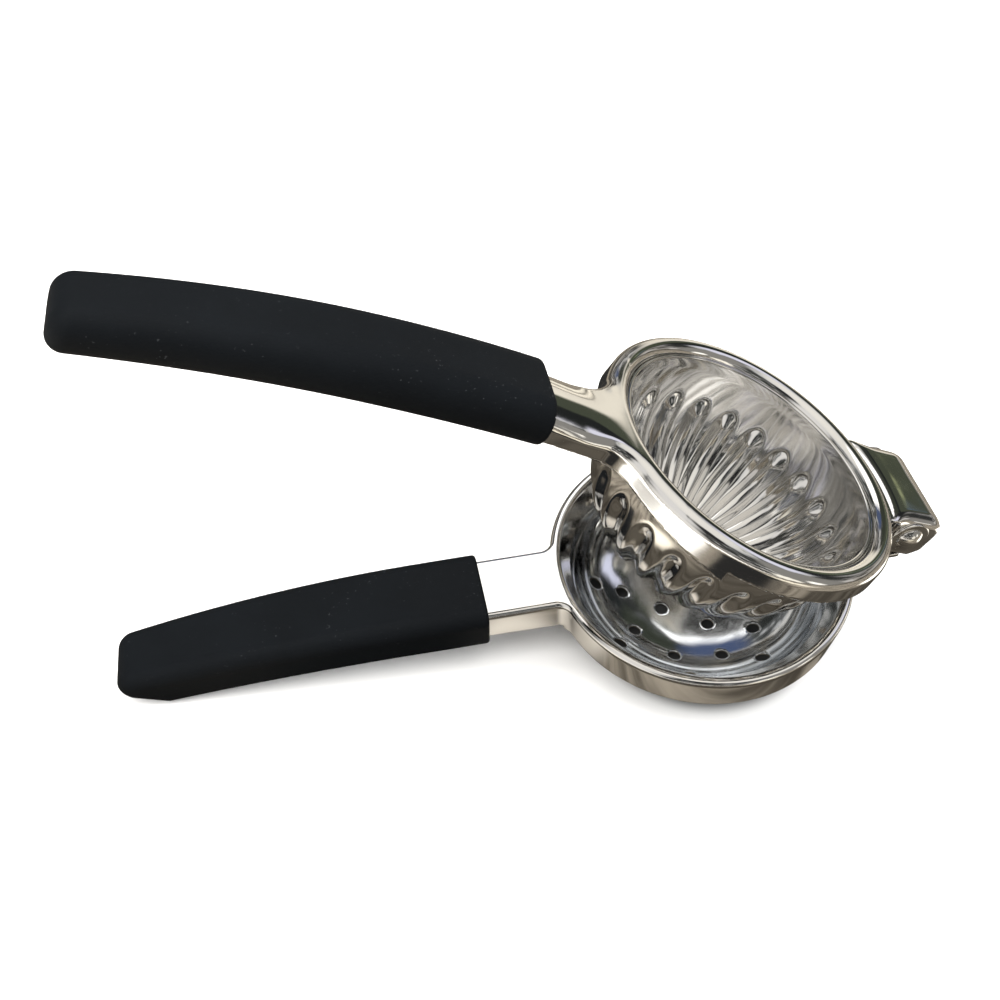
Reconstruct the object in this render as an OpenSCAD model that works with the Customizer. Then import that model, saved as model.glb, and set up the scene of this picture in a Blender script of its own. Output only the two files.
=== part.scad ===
// Hinged lemon squeezer: two pressed steel jaws on one rivet, with soft sleeves on the handles.
// Each piece is drawn with the jaws parallel, in a frame with z = 0 on the lower rim and +X
// toward the hinge. The upper jaw is then opened about the rivet, and the whole squeezer is
// stood on the table plane, z = 0, with the origin at the flat under the bowl.

/* [Stance] */
// Angle between the jaws as the squeezer stands open
open_angle = 26; // [5:1:60]
// Height that the foot flat takes off the underside of the bowl
foot_flat = 0.1; // [0.05:0.05:0.3]

/* [Sheet steel] */
// Thickness of both frames
sheet = 1.5; // [1:0.1:2]
// Thickness of the bowl and of the press cup
shell = 1; // [0.8:0.1:1.2]
// Gap between steel pieces that are welded or pressed together
seam_gap = 0.05; // [0.02:0.01:0.1]

/* [Lower frame] */
// Outside diameter of the lower rim
rim_d = 84; // [80:1:90]
// Height of the skirt under the lower rim
skirt_h = 11.5; // [9:0.5:13]
// Inward draft of the skirt over its height
skirt_draft = 0.9; // [0:0.1:1.5]
// Distance from the rim's outside to the seam between the frame and the bowl
seam_inset = 6.2; // [5.6:0.1:6.8]
// Width of the lower handle where it leaves the rim
lower_shank_w = 19.2; // [17:0.2:21]
// Height of the lower handle's flanges
lower_flange_h = 9.8; // [8:0.2:11]
// Radius in the corners between the lower handle and the rim
lower_corner_r = 2.6; // [1.5:0.1:4]

/* [Strainer bowl] */
// Inside depth of the bowl below the rim
bowl_depth = 26.2; // [25.6:0.2:30]
// Diameter of the juice holes
hole_d = 3.5; // [2.5:0.1:4.5]
// Distance from the rim to the inner ring of holes
hole_inset_1 = 33.9; // [33:0.1:36]
// Distance from the rim to the middle ring of holes
hole_inset_2 = 22.2; // [21:0.1:25]
// Distance from the rim to the outer ring of holes
hole_inset_3 = 14.1; // [13:0.1:16]

/* [Upper frame] */
// Outside diameter at the lower edge of the upper ring
ring_d = 84.6; // [82:0.2:88]
// Height of the upper ring, from its lower edge to the top of its bead
ring_h = 6.2; // [5.6:0.1:8]
// Width of the rolled bead
bead_w = 6; // [5:0.2:7]
// Height of the upper ring's lower edge above the lower rim
ring_lift = 12.2; // [11.6:0.1:14]
// Width of the upper handle where it leaves the ring
upper_shank_w = 17.4; // [15:0.2:19]
// Height of the upper handle's side walls and crown together
upper_shank_h = 8; // [7:0.1:8.6]
// Height of the crown above the side walls
crown_h = 2.4; // [1.5:0.1:3]
// Radius in the corners between the upper handle and the ring
upper_corner_r = 5; // [3:0.5:7]

/* [Press cup] */
// Depth of the cup, from its edge to the outside of its bottom
cup_depth = 39.8; // [38:0.1:42]
// Clearance of the cup's edge inside the ring
cup_edge_gap = 0.1; // [0.05:0.05:0.3]
// Radial gap between the cup's neck and the ring
cup_side_gap = 0.65; // [0.5:0.05:1.5]
// Swell of the cup's side below its neck
cup_belly = 1; // [0.4:0.1:1.2]
// Number of flutes
flutes = 24; // [16:1:28]
// Depth of a flute
flute_depth = 2; // [1:0.1:2.4]
// Distance from the cup's edge down to the top of the flutes
flute_start = 10.5; // [8:0.5:16]

/* [Hinge] */
// Distance from the rim to the rivet
pin_reach = 9.5; // [8:0.5:13]
// Height of the rivet above the lower rim
pin_z = 11.7; // [11:0.1:13]
// Diameter of the rivet's shank
pin_d = 5; // [4:0.1:6]
// Diameter of the rivet's domed head
head_d = 7.6; // [7:0.2:10]
// Height of the rivet's domed head
head_h = 1.9; // [1.5:0.1:3]
// Radial clearance between the rivet and what turns on it
turn_gap = 0.04; // [0.02:0.01:0.08]
// Radial clearance between the rivet and what is held by it
held_gap = 0.02; // [0.01:0.01:0.05]
// Outside diameter of the rivet washers
washer_d = 11; // [10:0.1:12]
// Thickness of the rivet washers
washer_t = 0.6; // [0.5:0.1:1.2]
// Outside width of the bracket over its ears
bracket_w = 28; // [26:0.5:31]
// Outside width of the lower jaw's tongue and ears
tongue_w = 22; // [20:0.5:23]
// Side clearance of the friction washers
side_gap = 0.05; // [0.03:0.01:0.15]
// Outside diameter of the friction washers
friction_d = 10; // [9:0.5:10.5]
// Outside diameter of the spacer tube between the lower ears
spacer_d = 8; // [7:0.5:9]
// Outside radius of the folds between the bracket's top and its ears
fold_r = 2.5; // [2:0.1:3]
// Outside radius of the fold between the bracket's top and its lip
lip_fold_r = 4.5; // [3:0.1:5]
// Rise of the bracket's top above the top of the ring's bead
plate_rise = 0.5; // [0.3:0.1:1]
// Distance from the rivet to the end of the bracket's lip
lip_reach = 10.4; // [9:0.1:11]
// Drop of the bracket's lip below the ring's top
lip_drop = 5; // [4.5:0.1:6]
// Depth of the bracket's ears below the rivet
ear_drop = 6.5; // [5.5:0.1:7]
// Radius of the rounded top of the lower ears about the rivet
lower_ear_r = 5; // [4.5:0.1:5.2]

/* [Grips] */
// Distance from the bowl's axis to the mouth of the lower grip
lower_mouth_x = 62; // [58:1:70]
// Distance from the bowl's axis to the end of the lower grip
lower_end_x = 160.5; // [150:0.5:170]
// Width of the lower grip at its mouth
lower_grip_w = 23.6; // [23:0.2:26]
// Width of the lower grip at its end
lower_tip_w = 18; // [17.6:0.2:20]
// Height of the lower grip
lower_grip_h = 13.7; // [13.2:0.1:16]
// Radius of the droop of the lower handle
droop_r = 413; // [350:1:600]
// Distance from the bowl's axis to where the droop starts
droop_x = 80; // [72:1:90]
// Length of the slope under the end of the lower grip
heel_l = 12; // [10:0.5:18]
// Rise of the slope under the end of the lower grip
heel_rise = 7.5; // [3:0.5:8]
// Distance from the bowl's axis to the mouth of the upper grip
upper_mouth_x = 63; // [58:1:68]
// Distance from the bowl's axis to the end of the upper grip
upper_end_x = 164.5; // [155:0.5:175]
// Width of the upper grip at its mouth
upper_grip_w = 22.4; // [22:0.2:25]
// Width of the upper grip at its end
upper_tip_w = 17.6; // [17:0.2:20]
// Height of the upper grip at its mouth
upper_grip_h = 12.6; // [12.4:0.1:14]
// Height of the upper grip at its end
upper_tip_h = 10; // [10:0.1:12]
// Height of the top of the upper handle's arch above the lower rim, on its middle line
arch_z = 20.3; // [19:0.1:22]
// Distance from the bowl's axis to the top of the arch
arch_x = 104; // [95:1:112]
// Radius of the arch on the hinge side of its top
arch_front_r = 500; // [420:5:800]
// Radius of the arch on the end side of its top
arch_rear_r = 333; // [300:1:500]
// Clearance of the grips around the steel inside them
grip_fit = 0.15; // [0.1:0.05:0.3]
// Distance that the steel stops short of the end of each grip
core_short = 9.5; // [8:0.5:14]
// Width of the steel inside each grip at its end
core_tip_w = 12; // [10:0.5:13]

/* [Hidden] */
steel = "silver";
dark_rubber = "#24282c";
far = 200;
nib = 0.01;
over = 1;
root_in = 3;

rim_r = rim_d / 2;
seam_r = rim_r - seam_inset;
pin_x = rim_r + pin_reach;
ring_r = ring_d / 2;
ring_top = ring_lift + ring_h;
bead_r = bead_w / 2;
bead_draft = 0.3;
fill_in = 0.3;
crest_r = ring_r - bead_draft - bead_r;
bead_z = ring_top - bead_r;
inner_r = crest_r - bead_r;
band_h = 1.1;

// The inner wall of the lower ring slopes from the folded rim to the seam.
rim_fold_r = rim_r - sheet;
wall_angle = 56;
wall_in = [-sin(wall_angle), cos(wall_angle)];
wall_down = [-cos(wall_angle), -sin(wall_angle)];
wall_top = [rim_fold_r, -sheet] + sheet * wall_in;
wall_l = (wall_top[0] - seam_r) / cos(wall_angle);
seam = wall_top + wall_l * wall_down;

// The bowl's inside follows z = -depth * (1 - (r / edge)^p)^(1 / q).
bowl_seat = 0.4;
bowl_edge_r = seam_r + bowl_seat;
bowl_p = 2.34;
bowl_q = 2.467;
function bowl_z(r, edge, depth) = -depth * pow(1 - pow(r / edge, bowl_p), 1 / bowl_q);

// Heights along the handles, as offsets from their straight lines.
function droop(x) = x > -droop_x ? 0 : -pow(x + droop_x, 2) / (2 * droop_r);
function arch(x) = arch_z - pow(x + arch_x, 2) / (2 * (x > -arch_x ? arch_front_r : arch_rear_r));

lower_cover = 2.2;
lower_mid = lower_cover - lower_grip_h / 2;
lower_round = 4;
inset_share = 0.6;
heel_x = lower_end_x - heel_l;
heel_z = lower_mid - lower_grip_h / 2 + droop(-heel_x);

// The table plane runs from under the bowl to the heel of the lower grip.
foot_z = -(bowl_depth + shell - foot_flat);
tilt = atan((heel_z - foot_z) / heel_x);
foot_x = -bowl_edge_r * pow(tan(tilt) * bowl_edge_r * bowl_q / (bowl_p * bowl_depth), 1 / (bowl_p - 1));

module stand() {
    rotate([0, -tilt, 0])
        translate([-foot_x, 0, foot_x * tan(tilt) - foot_z])
            children();
}

module opened() {
    translate([pin_x, 0, pin_z])
        rotate([0, open_angle, 0])
            translate([-pin_x, 0, -pin_z])
                children();
}

module across(y_from, y_to) {
    translate([0, y_to, 0])
        rotate([90, 0, 0])
            linear_extrude(height = y_to - y_from)
                children();
}

module on_pin(y_from, y_to, d) {
    translate([pin_x, y_to, pin_z])
        rotate([90, 0, 0])
            cylinder(h = y_to - y_from, d = d, $fn = 48);
}

// Fills the corner between a ring of radius r and a bar of half width w that leaves it toward -X.
module corner_fill(r, w, fillet) {
    reach = r + fillet;
    cx = -sqrt(pow(reach, 2) - pow(w + fillet, 2));
    difference() {
        polygon([[-r * 0.8, 0], [cx, 0], [cx, w + fillet], [cx * r / reach, (w + fillet) * r / reach]]);
        translate([cx, w + fillet])
            circle(r = fillet, $fn = 48);
    }
}

module corner_fills(r, w, fillet) {
    corner_fill(r, w, fillet);
    mirror([0, 1])
        corner_fill(r, w, fillet);
}

// ---- Lower frame -------------------------------------------------------------------------

function narrowed(x, w, mouth_x, core_x) =
    w / 2 - (w - core_tip_w) / 2 * max(0, -x - mouth_x) / (core_x - mouth_x);
function lower_core_w(x) = narrowed(x, lower_shank_w, lower_mouth_x, lower_core_x);
lower_core_x = lower_end_x - core_short;
lower_core_h = 7.4;
core_steps = 10;
function steps(x_from, x_to, n) = [for (i = [0:n]) x_from + (x_to - x_from) * i / n];
lower_stations = concat([root_in - rim_r], steps(-lower_mouth_x, -lower_core_x, core_steps));
function flange_z(x) = droop(x) - lower_flange_h
    + (lower_flange_h - lower_core_h) * max(0, -x - rim_r) / (lower_core_x - rim_r);
function reversed(list) = [for (i = [len(list) - 1:-1:0]) list[i]];

module lower_ring_section() {
    polygon([[rim_r, -sheet], [rim_r - sheet, -sheet], [rim_r - sheet - skirt_draft, -skirt_h],
        [rim_r - skirt_draft, -skirt_h]]);
    translate([rim_fold_r, -sheet])
        circle(r = sheet, $fn = 48);
    polygon([[rim_fold_r, -sheet], wall_top, seam, seam - sheet * wall_in]);
}

module lower_bar_plan(inset) {
    for (side = [-1, 1])
        polygon([for (x = [root_in + over - rim_r, -lower_mouth_x, -lower_core_x]) [x, 0],
            for (x = [-lower_core_x, -lower_mouth_x, root_in + over - rim_r])
                [x, side * (lower_core_w(x) - inset)]]);
    difference() {
        corner_fills(rim_r - inset, lower_shank_w / 2 - inset, lower_corner_r + inset);
        circle(r = rim_r - root_in, $fn = 96);
    }
}

module lower_handle() {
    difference() {
        intersection() {
            across(-far, far)
                polygon([for (x = lower_stations) [x, droop(x)],
                    for (x = reversed(lower_stations)) [x, flange_z(x)]]);
            translate([0, 0, -far / 2])
                linear_extrude(height = far)
                    lower_bar_plan(0);
        }
        intersection() {
            across(-far, far)
                polygon([for (x = lower_stations) [x, droop(x) - sheet],
                    for (x = reversed(lower_stations)) [x, flange_z(x) - sheet]]);
            translate([0, 0, -far / 2])
                linear_extrude(height = far)
                    lower_bar_plan(sheet);
        }
    }
}

tongue_beyond = 5;
tongue_end_x = pin_x + tongue_beyond;
tongue_cut = 2.5;
ear_foot_before = 7;
ear_foot_l = 5;
ear_foot_x = pin_x - ear_foot_before;

module tongue_plan() {
    inner_x = rim_r - root_in - over;
    polygon([[inner_x, -tongue_w / 2], [ear_foot_x + ear_foot_l, -tongue_w / 2],
        [tongue_end_x, -tongue_w / 2 + tongue_cut], [tongue_end_x, tongue_w / 2 - tongue_cut],
        [ear_foot_x + ear_foot_l, tongue_w / 2], [inner_x, tongue_w / 2]]);
}

module lower_ears() {
    for (y = [-tongue_w / 2, tongue_w / 2 - sheet])
        across(y, y + sheet)
            difference() {
                union() {
                    translate([pin_x, pin_z])
                        circle(r = lower_ear_r, $fn = 48);
                    polygon([[ear_foot_x, -sheet], [ear_foot_x, 0], [pin_x - lower_ear_r, pin_z],
                        [pin_x, pin_z], [pin_x + lower_ear_r, pin_z],
                        [ear_foot_x + ear_foot_l, 0], [ear_foot_x + ear_foot_l, -sheet]]);
                }
                translate([pin_x, pin_z])
                    circle(d = pin_d + 2 * turn_gap, $fn = 48);
            }
}

module lower_frame() {
    color(steel) {
        difference() {
            union() {
                rotate_extrude($fn = 96)
                    lower_ring_section();
                lower_handle();
                difference() {
                    translate([0, 0, -sheet])
                        linear_extrude(height = sheet)
                            tongue_plan();
                    translate([0, 0, -sheet - nib])
                        cylinder(h = sheet + 2 * nib, r = rim_fold_r, $fn = 96);
                }
                lower_ears();
            }
            translate([-rim_r - over, -lower_shank_w / 2 + sheet, -skirt_h - over])
                cube([root_in + 2 * over, lower_shank_w - 2 * sheet, skirt_h + over - sheet]);
        }
    }
}

// ---- Strainer bowl ----------------------------------------------------------------------

bowl_steps = 14;
bowl_join_inset = 1.3;
bowl_join_r = bowl_edge_r - bowl_join_inset;
seam_lap = 2.6;
lip_outer = [rim_fold_r, -sheet] - seam_gap * wall_in + seam_lap * wall_down;
lip_inner = lip_outer - shell * wall_in;
function bowl_curve(edge, depth, r_from, n) =
    [for (i = [0:n]) let(r = r_from * (1 - pow(i / n, 1.6))) [r, bowl_z(r, edge, depth)]];
inside_curve = bowl_curve(bowl_edge_r, bowl_depth, bowl_join_r, bowl_steps);
outside_curve = bowl_curve(bowl_edge_r + shell, bowl_depth + shell, bowl_join_r + shell, bowl_steps);

// Each ring of holes: its distance from the rim, its number of holes and the angle of the first.
hole_rings = [[hole_inset_1, 3, 57], [hole_inset_2, 9, -40], [hole_inset_3, 8, -63]];

module hole_ring(r, n, first) {
    for (i = [0:n - 1])
        rotate([0, 0, first + i * 360 / n])
            translate([r, 0, -bowl_depth - shell - over])
                cylinder(h = bowl_depth, d = hole_d, $fn = 32);
}

module table_cut() {
    translate([0, 0, foot_z])
        rotate([0, tilt, 0])
            translate([-far / 2, -far / 2, -far])
                cube([far, far, far]);
}

module strainer_bowl() {
    color(steel)
        difference() {
            rotate_extrude($fn = 96)
                polygon(concat([lip_outer], inside_curve, reversed(outside_curve), [lip_inner]));
            for (ring = hole_rings)
                hole_ring(rim_r - ring[0], ring[1], ring[2]);
            table_cut();
        }
}

// ---- Grips ------------------------------------------------------------------------------

corner_steps = 4;
cavity_round = 0.3;
mouth_edge = 0.6;

// Points of a rounded rectangle across a handle, centred at height mid.
function rounded_ring(x, a, b, r, mid) =
    [for (c = [[1, 1, 0], [-1, 1, 90], [-1, -1, 180], [1, -1, 270]]) for (i = [0:corner_steps])
        let(t = c[2] + 90 * i / corner_steps)
            [x, c[0] * (a - r) + r * cos(t), mid + c[1] * (b - r) + r * sin(t)]];

// Joins an outer skin and a cavity at the mouth, each a list of rings from the mouth inward.
module sleeve(outer, cavity) {
    n = len(outer[0]);
    m = len(outer);
    k = len(cavity);
    points = concat([for (ring = outer) each ring], [for (ring = cavity) each ring]);
    skin = [for (j = [0:m - 2]) for (i = [0:n - 1])
        [j * n + i, j * n + (i + 1) % n, (j + 1) * n + (i + 1) % n, (j + 1) * n + i]];
    hollow = [for (j = [m:m + k - 2]) for (i = [0:n - 1])
        [j * n + i, (j + 1) * n + i, (j + 1) * n + (i + 1) % n, j * n + (i + 1) % n]];
    mouth = [for (i = [0:n - 1]) [i, m * n + i, m * n + (i + 1) % n, (i + 1) % n]];
    end_cap = [[for (i = [0:n - 1]) (m - 1) * n + i]];
    hollow_cap = [[for (i = [n - 1:-1:0]) (m + k - 1) * n + i]];
    polyhedron(points = points, faces = concat(skin, hollow, mouth, end_cap, hollow_cap), convexity = 6);
}

end_steps = 4;
end_round = 3.5;
grip_steps = 9;

// Insets and places of the rings that round the end of a grip.
function end_insets(r) =
    [for (i = [1:end_steps]) [r * sin(90 * i / end_steps), r * (1 - cos(90 * i / end_steps))]];

function share(x, mouth_x, end_x) = pow((-x - mouth_x) / (end_x - mouth_x), 2);
function lower_half_w(x) =
    (lower_grip_w - (lower_grip_w - lower_tip_w) * share(x, lower_mouth_x, lower_end_x)) / 2;
function heel_cut(x) = max(0, (-x - heel_x) / heel_l) * heel_rise;
function lower_ring(x, inset) = rounded_ring(x, lower_half_w(x) - inset,
    (lower_grip_h - heel_cut(x)) / 2 - inset, lower_round - inset * inset_share,
    lower_mid + droop(x) + heel_cut(x) / 2);

module lower_grip() {
    body_end = -lower_end_x + end_round;
    outer = concat([lower_ring(-lower_mouth_x, mouth_edge)],
        [for (x = steps(-lower_mouth_x - mouth_edge, -heel_x, grip_steps)) lower_ring(x, 0)],
        [lower_ring(body_end, 0)],
        [for (e = end_insets(end_round)) lower_ring(body_end - e[0], e[1])]);
    cavity = [for (x = concat(steps(-lower_mouth_x, -lower_core_x, core_steps), [-lower_core_x - grip_fit]))
        let(core_x = max(x, -lower_core_x), top = droop(x) + grip_fit, low = flange_z(core_x) - grip_fit)
            rounded_ring(x, lower_core_w(core_x) + grip_fit, (top - low) / 2, cavity_round, (top + low) / 2)];
    color(dark_rubber)
        sleeve(outer, cavity);
}

// The upper grip's sides are round but for a narrow flat.
side_flat = 0.2;
function upper_ring(x, inset) =
    let(s = share(x, upper_mouth_x, upper_end_x),
        a = (upper_grip_w - (upper_grip_w - upper_tip_w) * s) / 2 - inset,
        b = (upper_grip_h - (upper_grip_h - upper_tip_h) * s) / 2 - inset)
            rounded_ring(x, a, b, b - side_flat, arch(x));

module upper_grip() {
    body_end = -upper_end_x + end_round;
    outer = concat([upper_ring(-upper_mouth_x, mouth_edge)],
        [for (x = steps(-upper_mouth_x - mouth_edge, body_end, grip_steps)) upper_ring(x, 0)],
        [for (e = end_insets(end_round)) upper_ring(body_end - e[0], e[1])]);
    cavity = [for (x = concat(steps(-upper_mouth_x, -upper_core_x, core_steps), [-upper_core_x - grip_fit]))
        rounded_ring(x, upper_core_w(max(x, -upper_core_x)) + grip_fit,
            upper_shank_h / 2 + grip_fit, cavity_round, arch(max(x, -upper_core_x)))];
    color(dark_rubber)
        sleeve(outer, cavity);
}

// ---- Upper frame ------------------------------------------------------------------------

upper_core_x = upper_end_x - core_short;
function upper_core_w(x) = narrowed(x, upper_shank_w, upper_mouth_x, upper_core_x);
shank_in = 1;
shank_over = 0.3;
shank_in_x = crest_r - shank_in;
shank_in_z = ring_top + shank_over - upper_shank_h / 2;
shank_rise = atan((arch(-upper_mouth_x) - shank_in_z) / (upper_mouth_x - shank_in_x));
shank_l = (upper_mouth_x - shank_in_x) / cos(shank_rise);
core_stations = steps(-upper_mouth_x, -upper_core_x, core_steps);

// The bead and its skirt, seen as a solid form inset by a thickness.
module bead_form(inset) {
    translate([crest_r, bead_z])
        circle(r = bead_r - inset, $fn = 64);
    low = inset > 0 ? ring_lift - over : ring_lift;
    polygon([[inner_r + inset, bead_z], [crest_r + bead_r - inset, bead_z],
        [ring_r - inset, ring_lift], [ring_r - inset, low], [inner_r + inset, low]]);
}

module upper_ring_section() {
    difference() {
        bead_form(0);
        bead_form(sheet);
        translate([inner_r - over, ring_lift - over])
            square([over + 2 * sheet, bead_z - band_h - ring_lift + over]);
    }
}

// Half the section of the upper handle: upright walls under a shallow crown.
module crown_section(inset) {
    w = upper_shank_w / 2 - inset;
    wall = upper_shank_h / 2 - crown_h;
    crown_r = (pow(upper_shank_w / 2, 2) + pow(crown_h, 2)) / (2 * crown_h) - inset;
    crown_mid = upper_shank_h / 2 - crown_r - inset;
    intersection() {
        translate([-w, -upper_shank_h / 2 - (inset > 0 ? over : 0)])
            square([2 * w, upper_shank_h + over]);
        union() {
            translate([0, crown_mid])
                circle(r = crown_r, $fn = 96);
            translate([-w, -upper_shank_h])
                square([2 * w, upper_shank_h + wall - inset]);
        }
    }
}

module upper_shank(inset) {
    translate([-shank_in_x, 0, shank_in_z])
        rotate([0, shank_rise, 0])
            rotate([0, -90, 0])
                rotate([0, 0, -90])
                    translate([0, 0, -nib])
                        linear_extrude(height = shank_l + 2 * nib)
                            crown_section(inset);
}

module upper_core_plan(inset) {
    polygon([for (x = [-upper_mouth_x, -upper_core_x]) [x, inset - upper_core_w(x)],
        for (x = [-upper_core_x, -upper_mouth_x]) [x, upper_core_w(x) - inset]]);
}

module upper_core() {
    difference() {
        intersection() {
            across(-far, far)
                polygon([for (x = core_stations) [x, arch(x) + upper_shank_h / 2],
                    for (x = reversed(core_stations)) [x, arch(x) - upper_shank_h / 2]]);
            linear_extrude(height = far)
                upper_core_plan(0);
        }
        intersection() {
            across(-far, far)
                polygon([for (x = core_stations) [x, arch(x) + upper_shank_h / 2 - sheet],
                    for (x = reversed(core_stations)) [x, arch(x) - upper_shank_h / 2 - sheet]]);
            linear_extrude(height = far)
                upper_core_plan(sheet);
        }
    }
}

plate_top = ring_top + plate_rise;
lip_x = pin_x + lip_reach;
lip_z = ring_top - lip_drop;
ear_z = pin_z - ear_drop;
ear_before = 8;
ear_back_x = pin_x - ear_before;
lip_notch = 1.2;
ear_front_x = lip_x - lip_notch;
ear_chamfer = 2.6;

module bracket_section(inset) {
    w = bracket_w / 2 - inset;
    r = fold_r - inset;
    top = plate_top - inset;
    translate([-w, -far / 2])
        square([2 * w, far / 2 + top - r]);
    translate([-w + r, 0])
        square([2 * (w - r), top]);
    for (side = [-1, 1])
        translate([side * (w - r), top - r])
            circle(r = r, $fn = 48);
}

module ear_side() {
    under = plate_top - sheet - over;
    polygon([[crest_r, plate_top + over], [crest_r, under], [ear_back_x, under],
        [ear_back_x, ear_z + ear_chamfer], [ear_back_x + ear_chamfer, ear_z],
        [ear_front_x - ear_chamfer, ear_z], [ear_front_x, ear_z + ear_chamfer],
        [ear_front_x, lip_z], [lip_x - lip_fold_r, plate_top - lip_fold_r], [lip_x - lip_fold_r, plate_top + over]]);
}

module lip_side() {
    intersection() {
        translate([lip_x - lip_fold_r, plate_top - lip_fold_r])
            difference() {
                circle(r = lip_fold_r, $fn = 48);
                circle(r = lip_fold_r - sheet, $fn = 48);
            }
        translate([lip_x - lip_fold_r, plate_top - lip_fold_r])
            square([lip_fold_r, lip_fold_r]);
    }
    translate([lip_x - sheet, lip_z])
        square([sheet, plate_top - lip_fold_r - lip_z + nib]);
}

module bracket() {
    intersection() {
        difference() {
            rotate([90, 0, 90])
                linear_extrude(height = lip_x)
                    bracket_section(0);
            translate([-over, 0, 0])
                rotate([90, 0, 90])
                    linear_extrude(height = lip_x + 2 * over)
                        bracket_section(sheet);
        }
        across(-bracket_w, bracket_w)
            ear_side();
    }
    across(fold_r - bracket_w / 2, bracket_w / 2 - fold_r)
        lip_side();
}

module upper_frame() {
    color(steel)
        difference() {
            union() {
                rotate_extrude($fn = 96)
                    upper_ring_section();
                difference() {
                    union() {
                        upper_shank(0);
                        translate([0, 0, ring_lift])
                            linear_extrude(height = bead_z - ring_lift)
                                difference() {
                                    corner_fills(ring_r - bead_draft - fill_in, upper_shank_w / 2, upper_corner_r);
                                    circle(r = crest_r, $fn = 96);
                                }
                        bracket();
                    }
                    translate([0, 0, bead_z - far])
                        cylinder(h = far, r = crest_r + bead_r - sheet, $fn = 96);
                    translate([0, 0, bead_z - nib])
                        cylinder(h = far, r = crest_r, $fn = 96);
                }
                upper_core();
            }
            upper_shank(sheet);
            on_pin(-bracket_w, bracket_w, pin_d + 2 * held_gap);
        }
}

// ---- Press cup --------------------------------------------------------------------------

cup_p = 2.64;
cup_q = 2.2;
cup_neck_r = inner_r - cup_side_gap;
cup_r = cup_neck_r + cup_belly;
cup_edge_r = inner_r - cup_edge_gap;
cup_seat = 0.3;
cup_top = bead_z + cup_seat;
cup_wall_h = 4;
cup_lip_t = 0.8;
cup_steps = 11;
points_per_flute = 4;
cup_points = flutes * points_per_flute;
flute_blend = 6;

// A cup profile point at angle t from the wall to the bottom, for a skin inset by a thickness.
function cup_point(t, inset) =
    [(cup_r - inset) * pow(cos(t), 2 / cup_q),
     cup_top - cup_wall_h - (cup_depth - cup_wall_h - inset) * pow(sin(t), 2 / cup_p)];
function flute_reach(p) =
    min(1, max(0, (cup_top - flute_start - p[1]) / flute_blend)) * min(1, p[0] / (cup_r / 2));
function flute_form(i) = (1 + cos(360 * i / points_per_flute)) / 2;
function cup_ring(p, t) = [for (i = [0:cup_points - 1])
    let(d = flute_depth * flute_reach(p) * flute_form(i), a = 360 * i / cup_points, r = p[0] - d * cos(t))
        [r * cos(a), r * sin(a), p[1] + d * sin(t)]];
function plain_ring(r, z) =
    [for (i = [0:cup_points - 1]) [r * cos(360 * i / cup_points), r * sin(360 * i / cup_points), z]];

module press_cup() {
    angles = [for (i = [0:cup_steps - 1]) 90 * pow(i / cup_steps, 0.85)];
    outer = concat([plain_ring(cup_edge_r, cup_top), plain_ring(cup_edge_r, cup_top - cup_lip_t),
        plain_ring(cup_neck_r, cup_top - cup_lip_t)], [for (t = angles) cup_ring(cup_point(t, 0), t)]);
    inner = concat([for (t = reversed(angles)) cup_ring(cup_point(t, shell), t)],
        [plain_ring(cup_neck_r - shell, cup_top)]);
    rings = concat(outer, inner);
    m = len(outer);
    low = [0, 0, cup_top - cup_depth];
    n = cup_points;
    count = len(rings);
    points = concat([for (ring = rings) each ring], [low, low + [0, 0, shell]]);
    sides = [for (j = [0:count - 1]) if (j != m - 1) for (i = [0:n - 1])
        [j * n + i, j * n + (i + 1) % n, ((j + 1) % count) * n + (i + 1) % n, ((j + 1) % count) * n + i]];
    outer_cap = [for (i = [0:n - 1]) [(m - 1) * n + i, (m - 1) * n + (i + 1) % n, count * n]];
    inner_cap = [for (i = [0:n - 1]) [m * n + (i + 1) % n, m * n + i, count * n + 1]];
    color(steel)
        polyhedron(points = points, faces = concat(sides, outer_cap, inner_cap), convexity = 8);
}

// ---- Hinge ------------------------------------------------------------------------------

module dome(y, side, d) {
    dome_r = (pow(d / 2, 2) + pow(head_h, 2)) / (2 * head_h);
    translate([pin_x, y, pin_z])
        rotate([-90 * side, 0, 0])
            rotate_extrude($fn = 48)
                intersection() {
                    translate([0, head_h - dome_r])
                        circle(r = dome_r, $fn = 64);
                    square([d, head_h]);
                }
}

module hinge_rivet() {
    face = bracket_w / 2 + washer_t;
    color(steel)
        union() {
            on_pin(-face, face, pin_d);
            dome(-face, -1, head_d);
            dome(face, 1, head_d);
        }
}

module ring_on_pin(y_from, y_to, outer_d, bore_d) {
    difference() {
        on_pin(y_from, y_to, outer_d);
        on_pin(y_from - over, y_to + over, bore_d);
    }
}

module rivet_washers() {
    color(steel) {
        ring_on_pin(-bracket_w / 2 - washer_t, -bracket_w / 2, washer_d, pin_d + 2 * held_gap);
        ring_on_pin(bracket_w / 2, bracket_w / 2 + washer_t, washer_d, pin_d + 2 * held_gap);
    }
}

module friction_washers() {
    ear_in = bracket_w / 2 - sheet - side_gap;
    color("dimgray") {
        ring_on_pin(-ear_in, -tongue_w / 2, friction_d, pin_d + 2 * turn_gap);
        ring_on_pin(tongue_w / 2, ear_in, friction_d, pin_d + 2 * turn_gap);
    }
}

module spacer_tube() {
    half = tongue_w / 2 - sheet;
    color("gray")
        ring_on_pin(-half, half, spacer_d, pin_d + 2 * turn_gap);
}

stand() lower_frame();
stand() strainer_bowl();
stand() lower_grip();
stand() opened() upper_frame();
stand() opened() press_cup();
stand() opened() upper_grip();
stand() opened() hinge_rivet();
stand() opened() rivet_washers();
stand() friction_washers();
stand() spacer_tube();
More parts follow.
